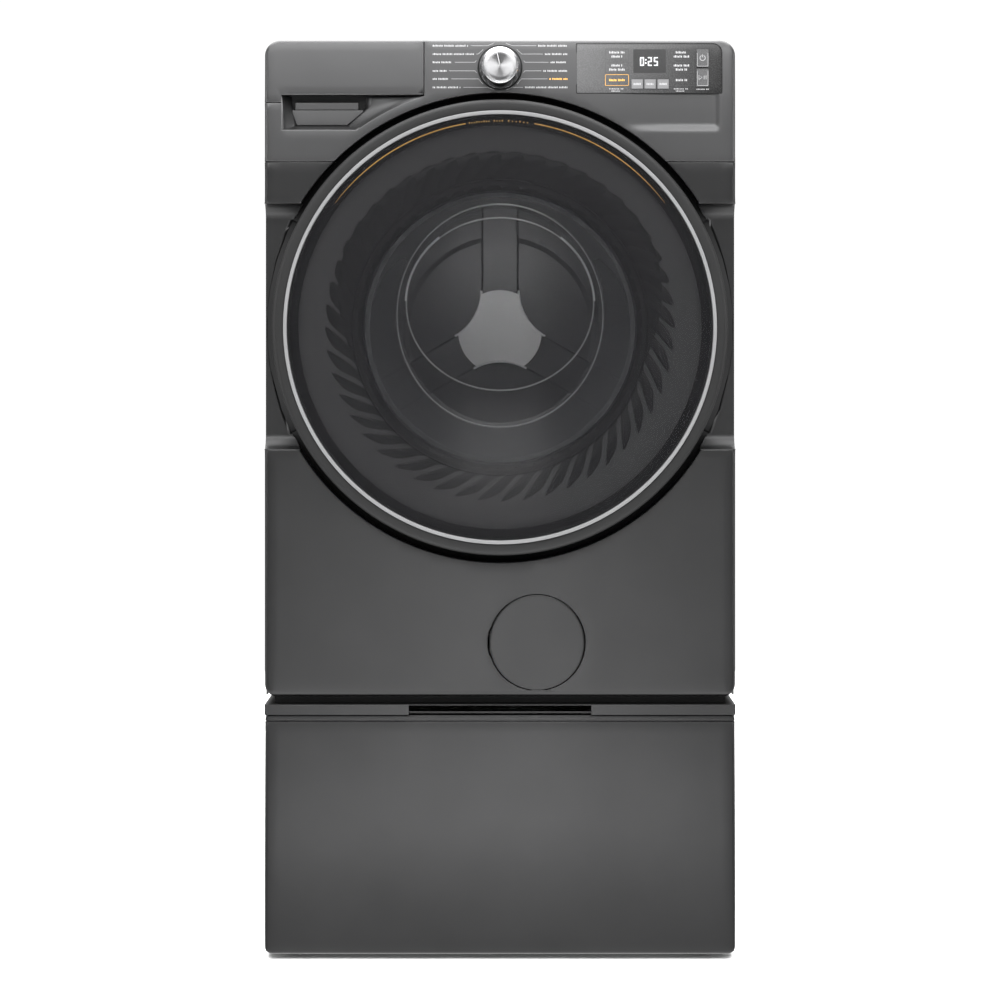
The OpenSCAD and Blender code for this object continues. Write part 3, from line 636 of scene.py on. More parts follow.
def make_front_panel():
    flat = 90 - well_angle(SCOOP_HIGH - WELL_D)
    flat_low = 90 - well_angle(SCOOP_LOW + WELL_D)
    corner, side = upper_corner(), scoop()
    skin = join(lower_face(), corner, mirrored(corner), side, mirrored(side),
                well_floor(flat, flat_low), well_floor(-flat_low, -flat))
    skin_piece("front_panel_skin", skin, "cabinet", PAINT,
               ("lower_front_panel",))
    # Painted shade: outside the hand scoops the well floor is near black, standing for the deep
    # shadow in the narrow gap round the door.
    dark = join(well_floor(-flat, flat), well_floor(flat_low, 360 - flat_low))
    skin_piece("door_well_painted_shade", dark, "cabinet", BLACK)


def make_filter_cover():
    profile = [(0.01, 0.1)] + [(COVER_R * k / 6, 0.1) for k in range(1, 6)]
    profile += [(COVER_R - inset, y) for inset, y in
                ((3, 0.1), (1.8, 0.1), (0.5, 0.55), (0, 1.4), (0, 3), (2, 3), (2.4, 2))]
    profile = [(r, FRONT_Y + y) for r, y in profile + [(0.01, 2)]]
    disc = lathe(profile, 128, cx=FILTER_X, cz=FILTER_Z)
    hinge_x = FILTER_X - COVER_R + 1.5
    half = [(0.01, 16.5), (0.8, 16.5), (0.8, 11.8), (1.5, 11.8)]
    pin = lathe_z([(r, FILTER_Z - z) for r, z in half] +
                  [(r, FILTER_Z + z) for r, z in reversed(half)], hinge_x, FRONT_Y + 1.6, 24)
    piece("filter_cover_disc", join(disc, pin), "filter_hatch", PAINT,
          ("filter_cover",))


make_front_panel()
make_filter_cover()


# ---------------------------------------------------------------- pedestal

def drawer_crown(x, z):
    """The drawer front leans back a little from this height towards its top and bottom."""
    fullest = (DRAWER_LOW.z + DRAWER_HIGH.z) / 2 - 71
    return (z - fullest) ** 2 / 6600


def make_pedestal_drawer():
    low, high = DRAWER_LOW, DRAWER_HIGH
    groove_low, groove_high = high.z - 9.5, high.z - 7.5

    def rim(a, b):
        x, z = abs(a[0] + b[0]) / 2, (a[1] + b[1]) / 2
        if x > high.x - 0.5:
            return 5
        if z > groove_high - 0.5:
            return 1.6
        return 4 if z < low.z + 12 else 1.0

    face = fillet(rect(low.x, low.z, high.x, groove_low), [11, 11, 0, 0], 6)
    lip = fillet(rect(low.x, groove_high, high.x, high.z), [0, 0, 6, 6], 4)
    shapes = [rimmed_plate([loop], rim, low.y, high.y - low.y, 16, drawer_crown)
              for loop in (face, lip)]
    shapes.append(plate(rect(low.x + 2, groove_low - 4, high.x - 2, groove_high + 4),
                        low.y + drawer_crown(0, groove_low) + 4, 3))
    skin_piece("pedestal_drawer_skin", join(*shapes), "pedestal_drawer", PAINT,
               ("pedestal_drawer_front",))


make_pedestal_drawer()


# ---------------------------------------------------------------- door

GLASS_R = 309.6
VIEW_GLASS_R = 307  # part of the glass that the silver ring leaves in view
RING_OUT = 312.6
BEZEL_R = DOOR_R - 1.5
PRINT_R = 298
RING_Y = box("door_trim_ring")[0].y
VANE_TIP_R = 252
VANE_ROOT_R = 210
VANE_COUNT = 48
VANE_SLOPE = math.tan(math.radians(33.5))
BACKING_Y = -375


def make_bezel():
    """Outer ring of the door, hollow behind, with a notch that clears the hinge."""
    low, back = DOOR_LOW.y, -340
    lip, wall = RING_OUT + 0.5, DOOR_R - 3
    profile = [(BEZEL_R, back), (BEZEL_R, low), (lip, low), (lip, low + 4.5), (303, low + 4.5),
               (303, low + 7), (DOOR_R - 12, low + 7), (wall, low + 12), (wall, back)]
    verts, faces = lathe(fillet(profile, [0, 7, 1.0, 0, 0, 0, 0, 5, 0], 6), 240)
    keep = []
    for f in faces:
        c = sum((Vector(verts[i]) for i in f), Vector((0, 0, 0))) / len(f)
        at_hinge = c.x < -300 and abs(c.z - AXIS_Z) < 31 and c.y > -363
        if not at_hinge:
            keep.append(f)
    piece("door_bezel", (verts, keep), "door", BEZEL, ("door_frame",))
    ring_in = VIEW_GLASS_R + 0.4
    ring = fillet([(ring_in, RING_Y + 10), (ring_in, RING_Y), (RING_OUT, RING_Y),
                   (RING_OUT, RING_Y + 10)], [0, 0.7, 0.7, 0], 4)
    piece("door_silver_ring", lathe(ring, 256), "door", TRIM, ("door_trim_ring",))


def glass_y(r, inner=False):
    """Depth of the curved door glass at a radius."""
    out = (r / GLASS_R) ** 2
    return GLASS_Y + (4 + 16 * out if inner else 14 * out)


def make_door_glass():
    steps = 16
    edge = VIEW_GLASS_R
    radii = [0.01] + [edge * k / steps for k in range(1, steps + 1)]
    profile = [(r, glass_y(r)) for r in radii[:-1] + [edge - 1]] + [(edge, glass_y(edge) + 1)]
    profile += [(r, glass_y(r, True)) for r in reversed(radii)]
    piece("door_outer_glass", lathe(profile, 192), "door", TINTED, ("door_glass",))
    rings = [291, 296, 301, 305]
    band = [(r, glass_y(r, True) + 0.3) for r in rings]
    band += [(r, glass_y(r, True) + 0.9) for r in reversed(rings)]
    piece("glass_edge_print", lathe(band, 192), "door", BLACK)


def band_strip(r, width, start, end, y):
    """Thin printed arc with tapered ends, angles in degrees from the top towards the right."""
    rows = []
    steps = 60
    for k in range(steps + 1):
        t = k / steps
        a = math.radians(start + (end - start) * t)
        w = width / 2 * min(1, (1 - t) * 2.2 + 0.12)
        rows.append([((r + s * w) * math.sin(a), y + d, AXIS_Z + (r + s * w) * math.cos(a))
                     for s, d in ((-1, 0), (1, 0), (1, 0.25), (-1, 0.25))])
    return loft(rows, caps=True)


def make_gold_print():
    """Gold line inside the glass, with plain dashes where wording would be."""
    y = glass_y(PRINT_R, True)
    shapes = [band_strip(PRINT_R, 1.7, side * 9.6, side * 53, y) for side in (-1, 1)]
    words = ((-8.5, 9, 0.68), (-1.6, 4, 0.75), (2.4, 6, 1.05))
    for start, count, pitch in words:
        for k in range(count):
            a = math.radians(start + k * pitch)
            tall = 1.8 if k % 3 else 2.6
            x, z = PRINT_R * math.sin(a), AXIS_Z + PRINT_R * math.cos(a)
            shapes.append(plate(rect(x - 0.8, z - 1.2, x + 0.8, z - 1.2 + tall), y, 0.25))
    piece("door_gold_print", join(*shapes), "door", GOLD)


def vane(index):
    """One swirled blade of the vent ring: a spiral from its tip inwards, with a raised spine."""
    tip = 2 * math.pi * index / VANE_COUNT
    height = math.cos(tip)
    # Painted shade: towards the top the blades widen until they fuse into one dark mass, standing
    # for the shadow over the upper half of the ring.
    shade_merge = smooth(-0.35, 0.9, height)
    rows = []
    steps = 14
    for k in range(steps + 1):
        t = k / steps
        r = VANE_TIP_R + (VANE_ROOT_R - VANE_TIP_R) * t
        a = tip - math.log(VANE_TIP_R / r) / VANE_SLOPE
        half = (0.5 + 9.4 * math.sin(math.pi / 2 * t ** 0.75)) * (1 + 2.2 * shade_merge * (1 - t))
        if k == 0:
            half = 0.3 + 5 * shade_merge
        radial = Vector((math.sin(a), math.cos(a)))
        across = Vector((radial.y, -radial.x))
        along = (across * -1 - radial * VANE_SLOPE).normalized()
        side = Vector((-along.y, along.x))
        centre = Vector((0, AXIS_Z)) + radial * r
        base = BACKING_Y - 0.2 + 9 * smooth(250, 208, r)
        rise = (1.6 - 1.2 * shade_merge) * math.sin(math.pi * min(1, t * 1.15 + 0.1)) + 0.3
        row = []
        for s, h in ((-1, 0), (-0.5, 0.55), (0.0, 1), (0.6, 1.5), (0.9, 0.2), (1, 0)):
            p = centre + side * (s * half)
            row.append((p.x, base - rise * h, p.y))
        rows.append(row)
    return loft(rows, caps=True)


def behind_glass(profile, *corners):
    """Turned ring from (radius, depth behind the backing's face) points."""
    points = [(r, BACKING_Y + y) for r, y in profile]
    return lathe(fillet(points, *corners) if corners else points, 192)


def vent_painted_shade():
    """Painted shade: a dark sheet between the blades that stands for the shadow over the upper
    half. It reaches their tips at the top and fades out below.
    """
    rows = []
    for t, lift in ((0, 7.5), (0.35, 3.5), (0.7, 0.6), (1, -0.9)):
        row = []
        for k in range(97):
            a = math.radians(-118 + 236 * k / 96)
            reach = VANE_ROOT_R + 1 + (VANE_TIP_R - VANE_ROOT_R) * smooth(-0.45, 0.62, math.cos(a))
            r = VANE_ROOT_R - 2 + (reach - VANE_ROOT_R + 2) * t
            rise = BACKING_Y + max(lift, 9 * smooth(250, 208, r) - 1.6)
            row.append((r * math.sin(a), rise, AXIS_Z + r * math.cos(a)))
        rows.append(row)
    return flipped(loft(rows, closed_rows=False))


def make_vane_ring():
    backing = [(311, 0), (256, 0), (250, 0.6), (232, 4), (212, 9), (212, 11), (232, 6), (252, 2.4),
               (311, 2)]
    piece("vent_backing", behind_glass(backing), "door", BACKING,
          ("door_vane_ring",))
    vanes = join(*[vane(i) for i in range(VANE_COUNT)])
    piece("vent_blades", vanes, "door", VANE_AND_SHADE, sharp=50)
    skin_piece("vent_top_painted_shade", vent_painted_shade(), "door", VANE_AND_SHADE, thick=0.8)
    throat = [(217, 10), (213, 6.5), (206, 7.5), (199, 15), (196.5, 33), (199, 33), (202, 16),
              (208, 10)]
    piece("vent_throat", behind_glass(throat, [0, 2, 3, 6, 0, 0, 5, 2], 5), "door",
          VANE_AND_SHADE)
    bead = [(213.5 + 1.6 * math.cos(a), 5.4 + 1.6 * math.sin(a))
            for a in (2 * math.pi * k / 10 for k in range(10))]
    piece("vent_throat_bead", behind_glass(bead), "door", BEZEL)


# Ovals of the bowl: half width, and lowest and highest point above the door's axis.
BOWL_RIM = (156, -149, 188)
BOWL_WINDOW = (142, -94, 168)
BOWL_MIDDLE = (2, 28, 30)
BOWL_R = 190  # where the bowl starts at its flange


def bowl_row(oval, y, mix=1, inset=0, steps=144):
    """Loop between the round flange, at mix 0, and an oval of the bowl, at mix 1."""
    half_x, low, high = oval[0] - inset, oval[1] + inset, oval[2] - inset
    row = []
    for k in range(steps):
        t = 2 * math.pi * k / steps
        ox, oz = half_x * math.sin(t), (low + high) / 2 + (high - low) / 2 * math.cos(t)
        cx, cz = BOWL_R * math.sin(t), BOWL_R * math.cos(t)
        row.append((cx + (ox - cx) * mix, y, AXIS_Z + cz + (oz - cz) * mix))
    return row


def make_bowl():
    """Glass bowl: a sloped smoky side down to an oval rim, and a clear window inside it."""
    rows = [bowl_row(BOWL_RIM, y, mix) for y, mix in
            ((-341, 0), (-325, 0.12), (-285, 0.55), (-252, 0.9), (-245, 0.97), (-240, 1))]
    turn = [bowl_row(BOWL_RIM, y, inset=inset)
            for y, inset in ((-236.5, 0.8), (-234, 2.5), (-233, 5), (-233.5, 8))]
    step = [bowl_row(BOWL_WINDOW, y, inset=inset)
            for y, inset in ((-229, 0), (-225, 2.5), (-223.5, 6))]
    step += [bowl_row((82, -42, 116), -221), bowl_row(BOWL_MIDDLE, -220.5)]
    flange = lathe([(MOUTH_R, -347), (MOUTH_R, -341), (BOWL_R, -341), (BOWL_R, -347)], 144)
    piece("door_glass_bowl", join(loft(rows + turn), flange), "door", SMOKE,
          ("door_bowl",), closed=False)
    piece("bowl_window", loft(turn[-1:] + step), "door", CLEAR, closed=False)
    # Painted highlights: near-white tubes round the rim and the window stand for the bright lines
    # on the glass edges.
    for name, oval, radius, y in (("bowl_rim_painted_highlight", BOWL_RIM, 1.1, -235),
                                  ("bowl_window_painted_highlight", BOWL_WINDOW, 1.2, -227)):
        loop = bowl_row(oval, y, inset=1.5, steps=180)
        loop.append(loop[0])
        piece(name, tube(loop, radius, 10, caps=False), "door", GLASS_EDGE_HIGHLIGHT)
    # Painted highlights: thicker bright arcs at the window's upper left and right.
    upper_left = bowl_row(BOWL_WINDOW, -228.5, inset=0.5, steps=180)[136:161]
    bright = tube(upper_left, 1.5, 10)
    piece("bowl_painted_highlight", join(bright, mirrored(bright)), "door", PAINTED_HIGHLIGHT)


make_bezel()
make_door_glass()
make_gold_print()
make_vane_ring()
make_bowl()


# ---------------------------------------------------------------- bellows and drum

def make_bellows():
    """Grey door seal with its folds, stretched between the cabinet and the tub."""
    profile = fillet([(205, -331), (224, -331), (226, -322), (226, -316), (243, -307), (243, -289),
                      (228, -276), (225, -264), (225, -246), (221.3, -246), (221.3, -265),
                      (224, -278), (239, -291), (239, -305), (222, -313), (212, -313), (209, -318),
                      (204, -324)], [2.5, 3, 2, 1, 5, 5, 5, 3, 0, 0, 3, 5, 4, 4, 3, 3, 2, 3], 4)
    seal = piece("door_seal", lathe(profile, 192), None, RUBBER, ("door_bellows",))
    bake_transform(seal)


def make_drum():
    """Plain rolled drum wall with a rolled front edge."""
    low, high = box("drum_shell")
    outer, edge_y = high.x, low.y
    steps = 288
    ys = [edge_y] + [edge_y + 8 + (high.y - edge_y - 12) * k / 26 for k in range(27)] + [high.y]
    wall = loft([at_depth(arc(0, AXIS_Z, outer - 1, 90, -270, steps)[:-1], y) for y in ys])
    edge = [(222, 6), (223, 2), (227, 0), (232, 1), (outer - 8, 3), (outer - 2, 5), (outer, 10),
            (outer - 1.5, 10), (outer - 9, 5), (232, 3), (228, 2.5), (224.5, 4)]
    front = lathe([(r, edge_y + y) for r, y in edge], steps)
    piece("drum_wall", join(wall, front), "drum", DRUM_STEEL, ("drum_shell",),
          closed=False)


# The star on the drum's back: three arms, and round bites of this radius between them.
BITE_R = 87
BITE_FROM_AXIS = 136
HUB_R = 69
STAR_REACH = 250  # length of the arms


def star_bite(k, steps=16):
    """Concave edge between two arms, running from one arm to the next."""
    a = math.radians(150 + 120 * k)
    cx, cz = BITE_FROM_AXIS * math.cos(a), AXIS_Z + BITE_FROM_AXIS * math.sin(a)
    turn = 120 * k
    return arc(cx, cz, BITE_R, turn, turn - 60, steps)


def star_outline():
    """Outline of the star, one arm pointing up. Runs the same way as the bites."""
    points = []
    for k in range(3):
        a = math.radians(90 + 120 * k)
        along = Vector((math.cos(a), math.sin(a)))
        side = Vector((-along.y, along.x))
        half = BITE_FROM_AXIS * math.cos(math.radians(30)) - BITE_R
        centre = Vector((0, AXIS_Z))
        points.append(tuple(centre + along * STAR_REACH - side * half))
        points.append(tuple(centre + along * STAR_REACH + side * half))
        points += star_bite(k)
    return points


def hub_outline():
    """Middle of the star, inside a circle."""
    points = []
    for k in range(3):
        near = [p for p in star_bite(k, 40) if math.hypot(p[0], p[1] - AXIS_Z) < HUB_R]
        a = math.atan2(near[-1][1] - AXIS_Z, near[-1][0])
        across = math.radians(210 + 120 * k)
        half = (across - a) % (2 * math.pi)
        if half > math.pi:
            half -= 2 * math.pi
        start, end = math.degrees(across - half), math.degrees(across + half)
        points += near + arc(0, AXIS_Z, HUB_R, start, end, 8)
    return points


def stepped_relief(outline, levels, back):
    """Solid from (inset, height) steps of an outline, raised forward from the drum's back."""
    return loft([at_depth(offset_loop(outline, inset), back - up) for inset, up in levels],
                caps=True)


def make_drum_back():
    """Disc with the pressed star, its hub given a near-white colour as painted sheen, and
    near-white beads along the star's bites as painted highlights.
    """
    radius, back = box("drum_back")[1].x, box("drum_back")[1].y
    disc = lathe([(r, back - up) for r, up in
                  ((0.01, 2), (150, 2), (158, 5), (radius - 12, 5), (radius, 2), (radius, 0),
                   (0.01, 0))], 192)
    star = stepped_relief(star_outline(), ((0, 2.5), (0.5, 6), (1.5, 7.2), (3.5, 8)), back)
    piece("drum_back_star", join(disc, star), "drum", DRUM_STEEL, ("drum_back",),
          sharp=15)
    # The hub's near-white colour is painted sheen on the same steel as the star.
    hub = stepped_relief(hub_outline(), ((0, 7.5), (0, 8.6), (0.8, 9.2)), back)
    piece("drum_back_hub", hub, "drum", HUB_PAINTED_SHEEN, sharp=12)
    # Painted highlights: near-white beads along the bites stand for the bright lines on the
    # pressed edges.
    beads = [tube(at_depth(star_bite(k), back - 9.6), 1.7, 10) for k in range(3)]
    piece("drum_back_painted_highlights", join(*beads), "drum", PAINTED_HIGHLIGHT)


make_bellows()
make_drum()
make_drum_back()


# ---------------------------------------------------------------- console

LEAN_Z = 1205  # the console's face leans back above this height
DISPENSER_X = box("dispenser_front")[1].x
DISPENSER_Z = box("dispenser_front")[0].z
HANDLE_X = -318.5  # left edge of the finger recess, and its heights
HANDLE_LOW = 1208.6
HANDLE_HIGH = 1260
PLATE_Z = 1217
DISH_R = WELL_R + 14  # the recess ends on this circle beside the door


def console_lean(x, z):
    """The console face leans back a little towards its top edge."""
    return max(0.0, z - LEAN_Z) ** 2 / 4200


def recess_depth(x, z):
    """Shallow pressed recess under the touch panel, fading out towards the door."""
    across = smooth(150, 255, x) * (1 - smooth(312, 322, x))
    return 2.6 * across * smooth(1206.5, 1218, z)


def fascia_lift(x, z):
    return console_lean(x, z) + recess_depth(x, z)


def console_rim(a, b):
    x, z = (a[0] + b[0]) / 2, (a[1] + b[1]) / 2
    if abs(math.hypot(x, z - AXIS_Z) - WELL_R) < 1:
        return 2.2
    if z > TOP_Z - 0.5:
        return 4
    if abs(x) > HALF_W - CORNER_R and z > TOP_Z - CORNER_R - 0.5:
        return 5
    if abs(x) > HALF_W - 0.5:
        return EDGE_R
    return 0.8


def make_fascia():
    low = SEAM_Z + 1
    angle = well_angle(low)
    split = DISPENSER_X + 0.5
    dish_z = AXIS_Z + math.sqrt(DISH_R ** 2 - split ** 2)
    start = 180 - math.degrees(math.asin((HANDLE_LOW - AXIS_Z) / DISH_R))
    handle_edge = arc(0, AXIS_Z, DISH_R, start, math.degrees(math.acos(split / DISH_R)), 12)
    loop = [(-HALF_W, low)] + arc(0, AXIS_Z, WELL_R, 180 - angle, angle, 120)
    loop += [(HALF_W, low)] + fillet([(HALF_W, low), (HALF_W, TOP_Z), (split, TOP_Z)],
                                     CORNER_R, 10, closed=False)[1:]
    loop += [(split, dish_z)] + list(reversed(handle_edge[:-1]))
    loop += [(HANDLE_X, HANDLE_LOW), (HANDLE_X, DISPENSER_Z - 0.5), (-HALF_W, DISPENSER_Z - 0.5)]
    hole = arc(0, KNOB_Z, 8, 360, 0, 32)[:-1]
    dense = ((140, 1200, 328, 1264, 3.0),)
    skin = rimmed_plate([loop, hole], console_rim, FRONT_Y, WALL_D, 10, fascia_lift, dense)
    skin_piece("console_skin", join(skin, handle_recess(handle_edge)), "cabinet",
               CONSOLE, ("console_fascia",))
    shade = plate(fillet(rect(HANDLE_X + 2, HANDLE_LOW + 6, -190, HANDLE_HIGH + 4), 2, 3),
                  FRONT_Y + 22, 1.5)
    piece("handle_shadow_panel", shade, "cabinet", BLACK)


def handle_recess(edge):
    """Finger recess under the dispenser handle: sloped sides down to a small stepped plate."""
    outer = [(HANDLE_X, HANDLE_HIGH), (HANDLE_X, HANDLE_LOW)] + edge
    low = PLATE_Z - 0.1
    inner = [(-306, HANDLE_HIGH), (-297, low)]
    for i in range(len(edge)):
        t = i / (len(edge) - 1)
        inner.append((-223.4 + 27 * min(1, t * 1.6), low + (HANDLE_HIGH - low) * t))
    rows = []
    for k in range(7):
        t = k / 6
        y = FRONT_Y + 0.8 + 16.5 * t ** 0.8
        rows.append([(a[0] + (b[0] - a[0]) * t, y + fascia_lift(*a) * (1 - t),
                      a[1] + (b[1] - a[1]) * t) for a, b in zip(outer, inner)])
    return loft(rows, closed_rows=False)


def make_handle_plate():
    """Small stepped plate at the back of the finger recess."""
    y = FRONT_Y + 15.5
    lower = fillet([(-297, PLATE_Z), (-223.6, PLATE_Z), (-197, 1239.3), (-305, 1239.3)], 1.5, 3)
    upper = fillet(rect(-299.6, 1239.8, -207, 1250.5), 1, 3)
    shapes = [rimmed_plate([loop], lambda a, b: 1.0, y + back, 3)
              for loop, back in ((lower, 0), (upper, 1.2))]
    piece("handle_plate", join(*shapes), "cabinet", HANDLE_GREY)


def make_dispenser_front():
    x1 = DISPENSER_X
    loop = [(-HALF_W, DISPENSER_Z + 0.4), (HANDLE_X, DISPENSER_Z + 0.4), (HANDLE_X, HANDLE_HIGH),
            (x1, HANDLE_HIGH - 0.3), (x1, TOP_Z), (-HALF_W, TOP_Z)]
    loop = fillet(loop, [0, 0, 1.5, 1, 0, CORNER_R], 10)

    def rim(a, b):
        x, z = (a[0] + b[0]) / 2, (a[1] + b[1]) / 2
        return 2.2 if z < HANDLE_HIGH + 3 and x > HANDLE_X + 2 else console_rim(a, b)

    skin = rimmed_plate([loop], rim, FRONT_Y, 20, 12, console_lean)
    skin_piece("dispenser_skin", skin, "dispenser_drawer", CONSOLE,
               ("dispenser_front",), thick=1.4)
    back = fillet(rect(-HALF_W + 6, HANDLE_HIGH + 10, x1 - 4, TOP_Z - 8), 3, 3)
    piece("dispenser_backing", plate(back, FRONT_Y + 16, 3), "dispenser_drawer",
          BLACK)


# ---------------------------------------------------------------- knob

def make_knob():
    face_r, ring_r = 25, 31
    front = KNOB_LOW.y
    rim = ((2.2, 3.4), (0.6, 0.6), (-0.4, 0.3), (-0.6, 2), (-2, 3))
    skirt = fillet([(ring_r - 1, FRONT_Y - 1), (ring_r, FRONT_Y - 1.6), (ring_r, FRONT_Y - 4)]
                   + [(face_r + out, front + back) for out, back in rim]
                   + [(ring_r - 5, FRONT_Y - 5), (ring_r - 3, FRONT_Y - 1)],
                   [0, 0.5, 1.5, 2.5, 0.5, 0.3, 0, 0, 0, 0], 5)
    piece("knob_ring", lathe(skirt, 128, cz=KNOB_Z), "knob", CHROME,
          ("cycle_knob",))
    face = [(r, front + back) for r, back in
            ((0.01, 1.1), (8, 0.95), (16, 0.7), (face_r - 1.2, 0.35), (face_r - 0.5, 0.7),
             (face_r - 0.5, 3), (0.01, 3))]
    piece("knob_face", lathe(face, 128, cz=KNOB_Z), "knob", SPUN)
    # Painted shade: a black ring round the knob stands for the shadow in the gap around it.
    dark = lathe([(ring_r + out, FRONT_Y + back) for out, back in
                  ((-0.5, -0.9), (1.6, -0.2), (1.6, 3), (-3, 3), (-3, -0.9))], 128, cz=KNOB_Z)
    piece("knob_painted_shade_ring", dark, "cabinet", BLACK)
    turn = math.radians(-13)
    points = [(along * math.sin(turn) + side * math.cos(turn),
               KNOB_Z + along * math.cos(turn) - side * math.sin(turn))
              for along, side in ((1, -0.55), (1, 0.55), (24, 0.55), (24, -0.55))]
    piece("knob_pointer", plate(points, front + 0.15, 1.2), "knob", WHITE_PRINT)


# ---------------------------------------------------------------- printing

def printed(loop, proud):
    """Thin print that stands proud of the leaning console face."""
    ys = [FRONT_Y + console_lean(x, z) - proud for x, z in loop]
    front = [(x, y, z) for (x, z), y in zip(loop, ys)]
    back = [(x, y + 0.1, z) for x, y, z in front]
    return loft([back, front], caps=True)


BAR_WIDTHS = (1.5, 1.0, 1.7, 1.2)
BAR_HEIGHTS = (1.0, 0.82, 1.0, 0.9, 0.75)


def word_bars(x0, x1, z, seed, tall=2.6, proud=0.12):
    """Row of plain small bars, about as wide as letters, that stands for wording. The seed
    is where the row starts in the two patterns of widths and heights."""
    shapes = []
    x, k = x0, seed
    while x < x1 - 0.9:
        wide = BAR_WIDTHS[k % len(BAR_WIDTHS)]
        high = tall * BAR_HEIGHTS[k % len(BAR_HEIGHTS)]
        end = min(x + wide, x1)
        shapes.append(printed(rect(x, z - tall / 2, end, z - tall / 2 + high), proud))
        x = end + (0.8 if (k + 1) % 7 else 2.4)
        k += 1
    return shapes


def line(points, width, proud=0.12):
    """Thin printed line through points."""
    left, right = [], []
    for i, p in enumerate(points):
        a, b = Vector(points[max(0, i - 1)]), Vector(points[min(len(points) - 1, i + 1)])
        way = (b - a).normalized()
        side = Vector((-way.y, way.x)) * width / 2
        left.append(tuple(Vector(p) + side))
        right.append(tuple(Vector(p) - side))
    return printed(left + list(reversed(right)), proud)


CYCLE_ROWS = (1332.1, 1319.9, 1307.9, 1295.3, 1283.5, 1271.2)
TEXT_LEFT = -98.0
TEXT_RIGHT = 98.2
LEFT_WORDS = (-45.3, -37.6, -68.7, -77.2, -74.0, -56.2)
RIGHT_WORDS = (55.8, 65.5, 73.7, 63.2, 72.1, 36.5)
GOLD_ROW = 4
# Each guide line runs from its wording to its bend, then to its end beside the knob.
BENDS = ((17.8, 8.7, 3.9), (31.9, 24.5, 6.6), (36.4, 34.4, 2.6), (36.4, 34.4, -2.6),
         (31.2, 25.0, -7.6), (17.8, 8.7, -4.0))


def make_cycle_print():
    white, gold = [], []
    for i, z in enumerate(CYCLE_ROWS):
        bend, end, rise = BENDS[i]
        left, right = LEFT_WORDS[i], RIGHT_WORDS[i]
        left_line, right_line = (
            line([(start, z), (side * bend, z), (side * end, z + rise)], 0.5)
            for start, side in ((min(left + 3, -bend - 1), -1), (max(right - 3, bend + 1), 1)))
        white += word_bars(TEXT_LEFT, left, z, i) + [left_line]
        (gold if i == GOLD_ROW else white).extend(word_bars(right, TEXT_RIGHT, z, i + 2))
        white.append(right_line)
    piece("cycle_print", join(*white), "cabinet", WHITE_PRINT)
    piece("cycle_print_gold", join(*gold), "cabinet", GOLD)


# ---------------------------------------------------------------- touch panel

PRINT_UP = 0.62  # how far the print on the touch panel stands before the console's face
LEFT_KEYS = (153.2, 187.6)
RIGHT_KEYS = (247.2, 281.8)
KEY_ROWS = ((1311.2, 1327.4), (1292.1, 1308.2), (1273.6, 1289.9))
WINDOW = (194.3, 1292.2, 241.6, 1326.7)
# Left edge and lit segments of each digit: t, m, b, and l, r each with 1 above and 2 below.
DISPLAY_DIGITS = ((204.2, ("t", "b", "l1", "l2", "r1", "r2")),
                  (215.6, ("t", "r1", "m", "l2", "b")), (224.4, ("t", "l1", "m", "r2", "b")))


def frame_line(x0, z0, x1, z1, width, proud):
    """Thin printed outline with softly rounded corners."""
    outer = fillet(rect(x0, z0, x1, z1), 1.2, 3)
    inner = fillet(rect(x0 + width, z0 + width, x1 - width, z1 - width), 0.7, 3)
    rows = []
    for loop, up in ((outer, 0), (outer, 0.1), (inner, 0.1), (inner, 0)):
        rows.append([(x, FRONT_Y + console_lean(x, z) - proud - up + 0.05, z) for x, z in loop])
    return loft(rows, closed_ends=True)


def digit(shape, x, z):
    """Seven-segment digit with its lower left corner at x, z. shape lists its lit segments."""
    wide, tall, stroke = 5.6, 12.6, 1.35
    half = tall / 2
    bars = {
        "t": (x, z + tall - stroke, x + wide, z + tall), "b": (x, z, x + wide, z + stroke),
        "m": (x, z + half - stroke / 2, x + wide, z + half + stroke / 2),
        "l1": (x, z + half, x + stroke, z + tall), "l2": (x, z, x + stroke, z + half),
        "r1": (x + wide - stroke, z + half, x + wide, z + tall),
        "r2": (x + wide - stroke, z, x + wide, z + half),
    }
    return [printed(rect(*bars[s]), PRINT_UP + 0.14) for s in shape]


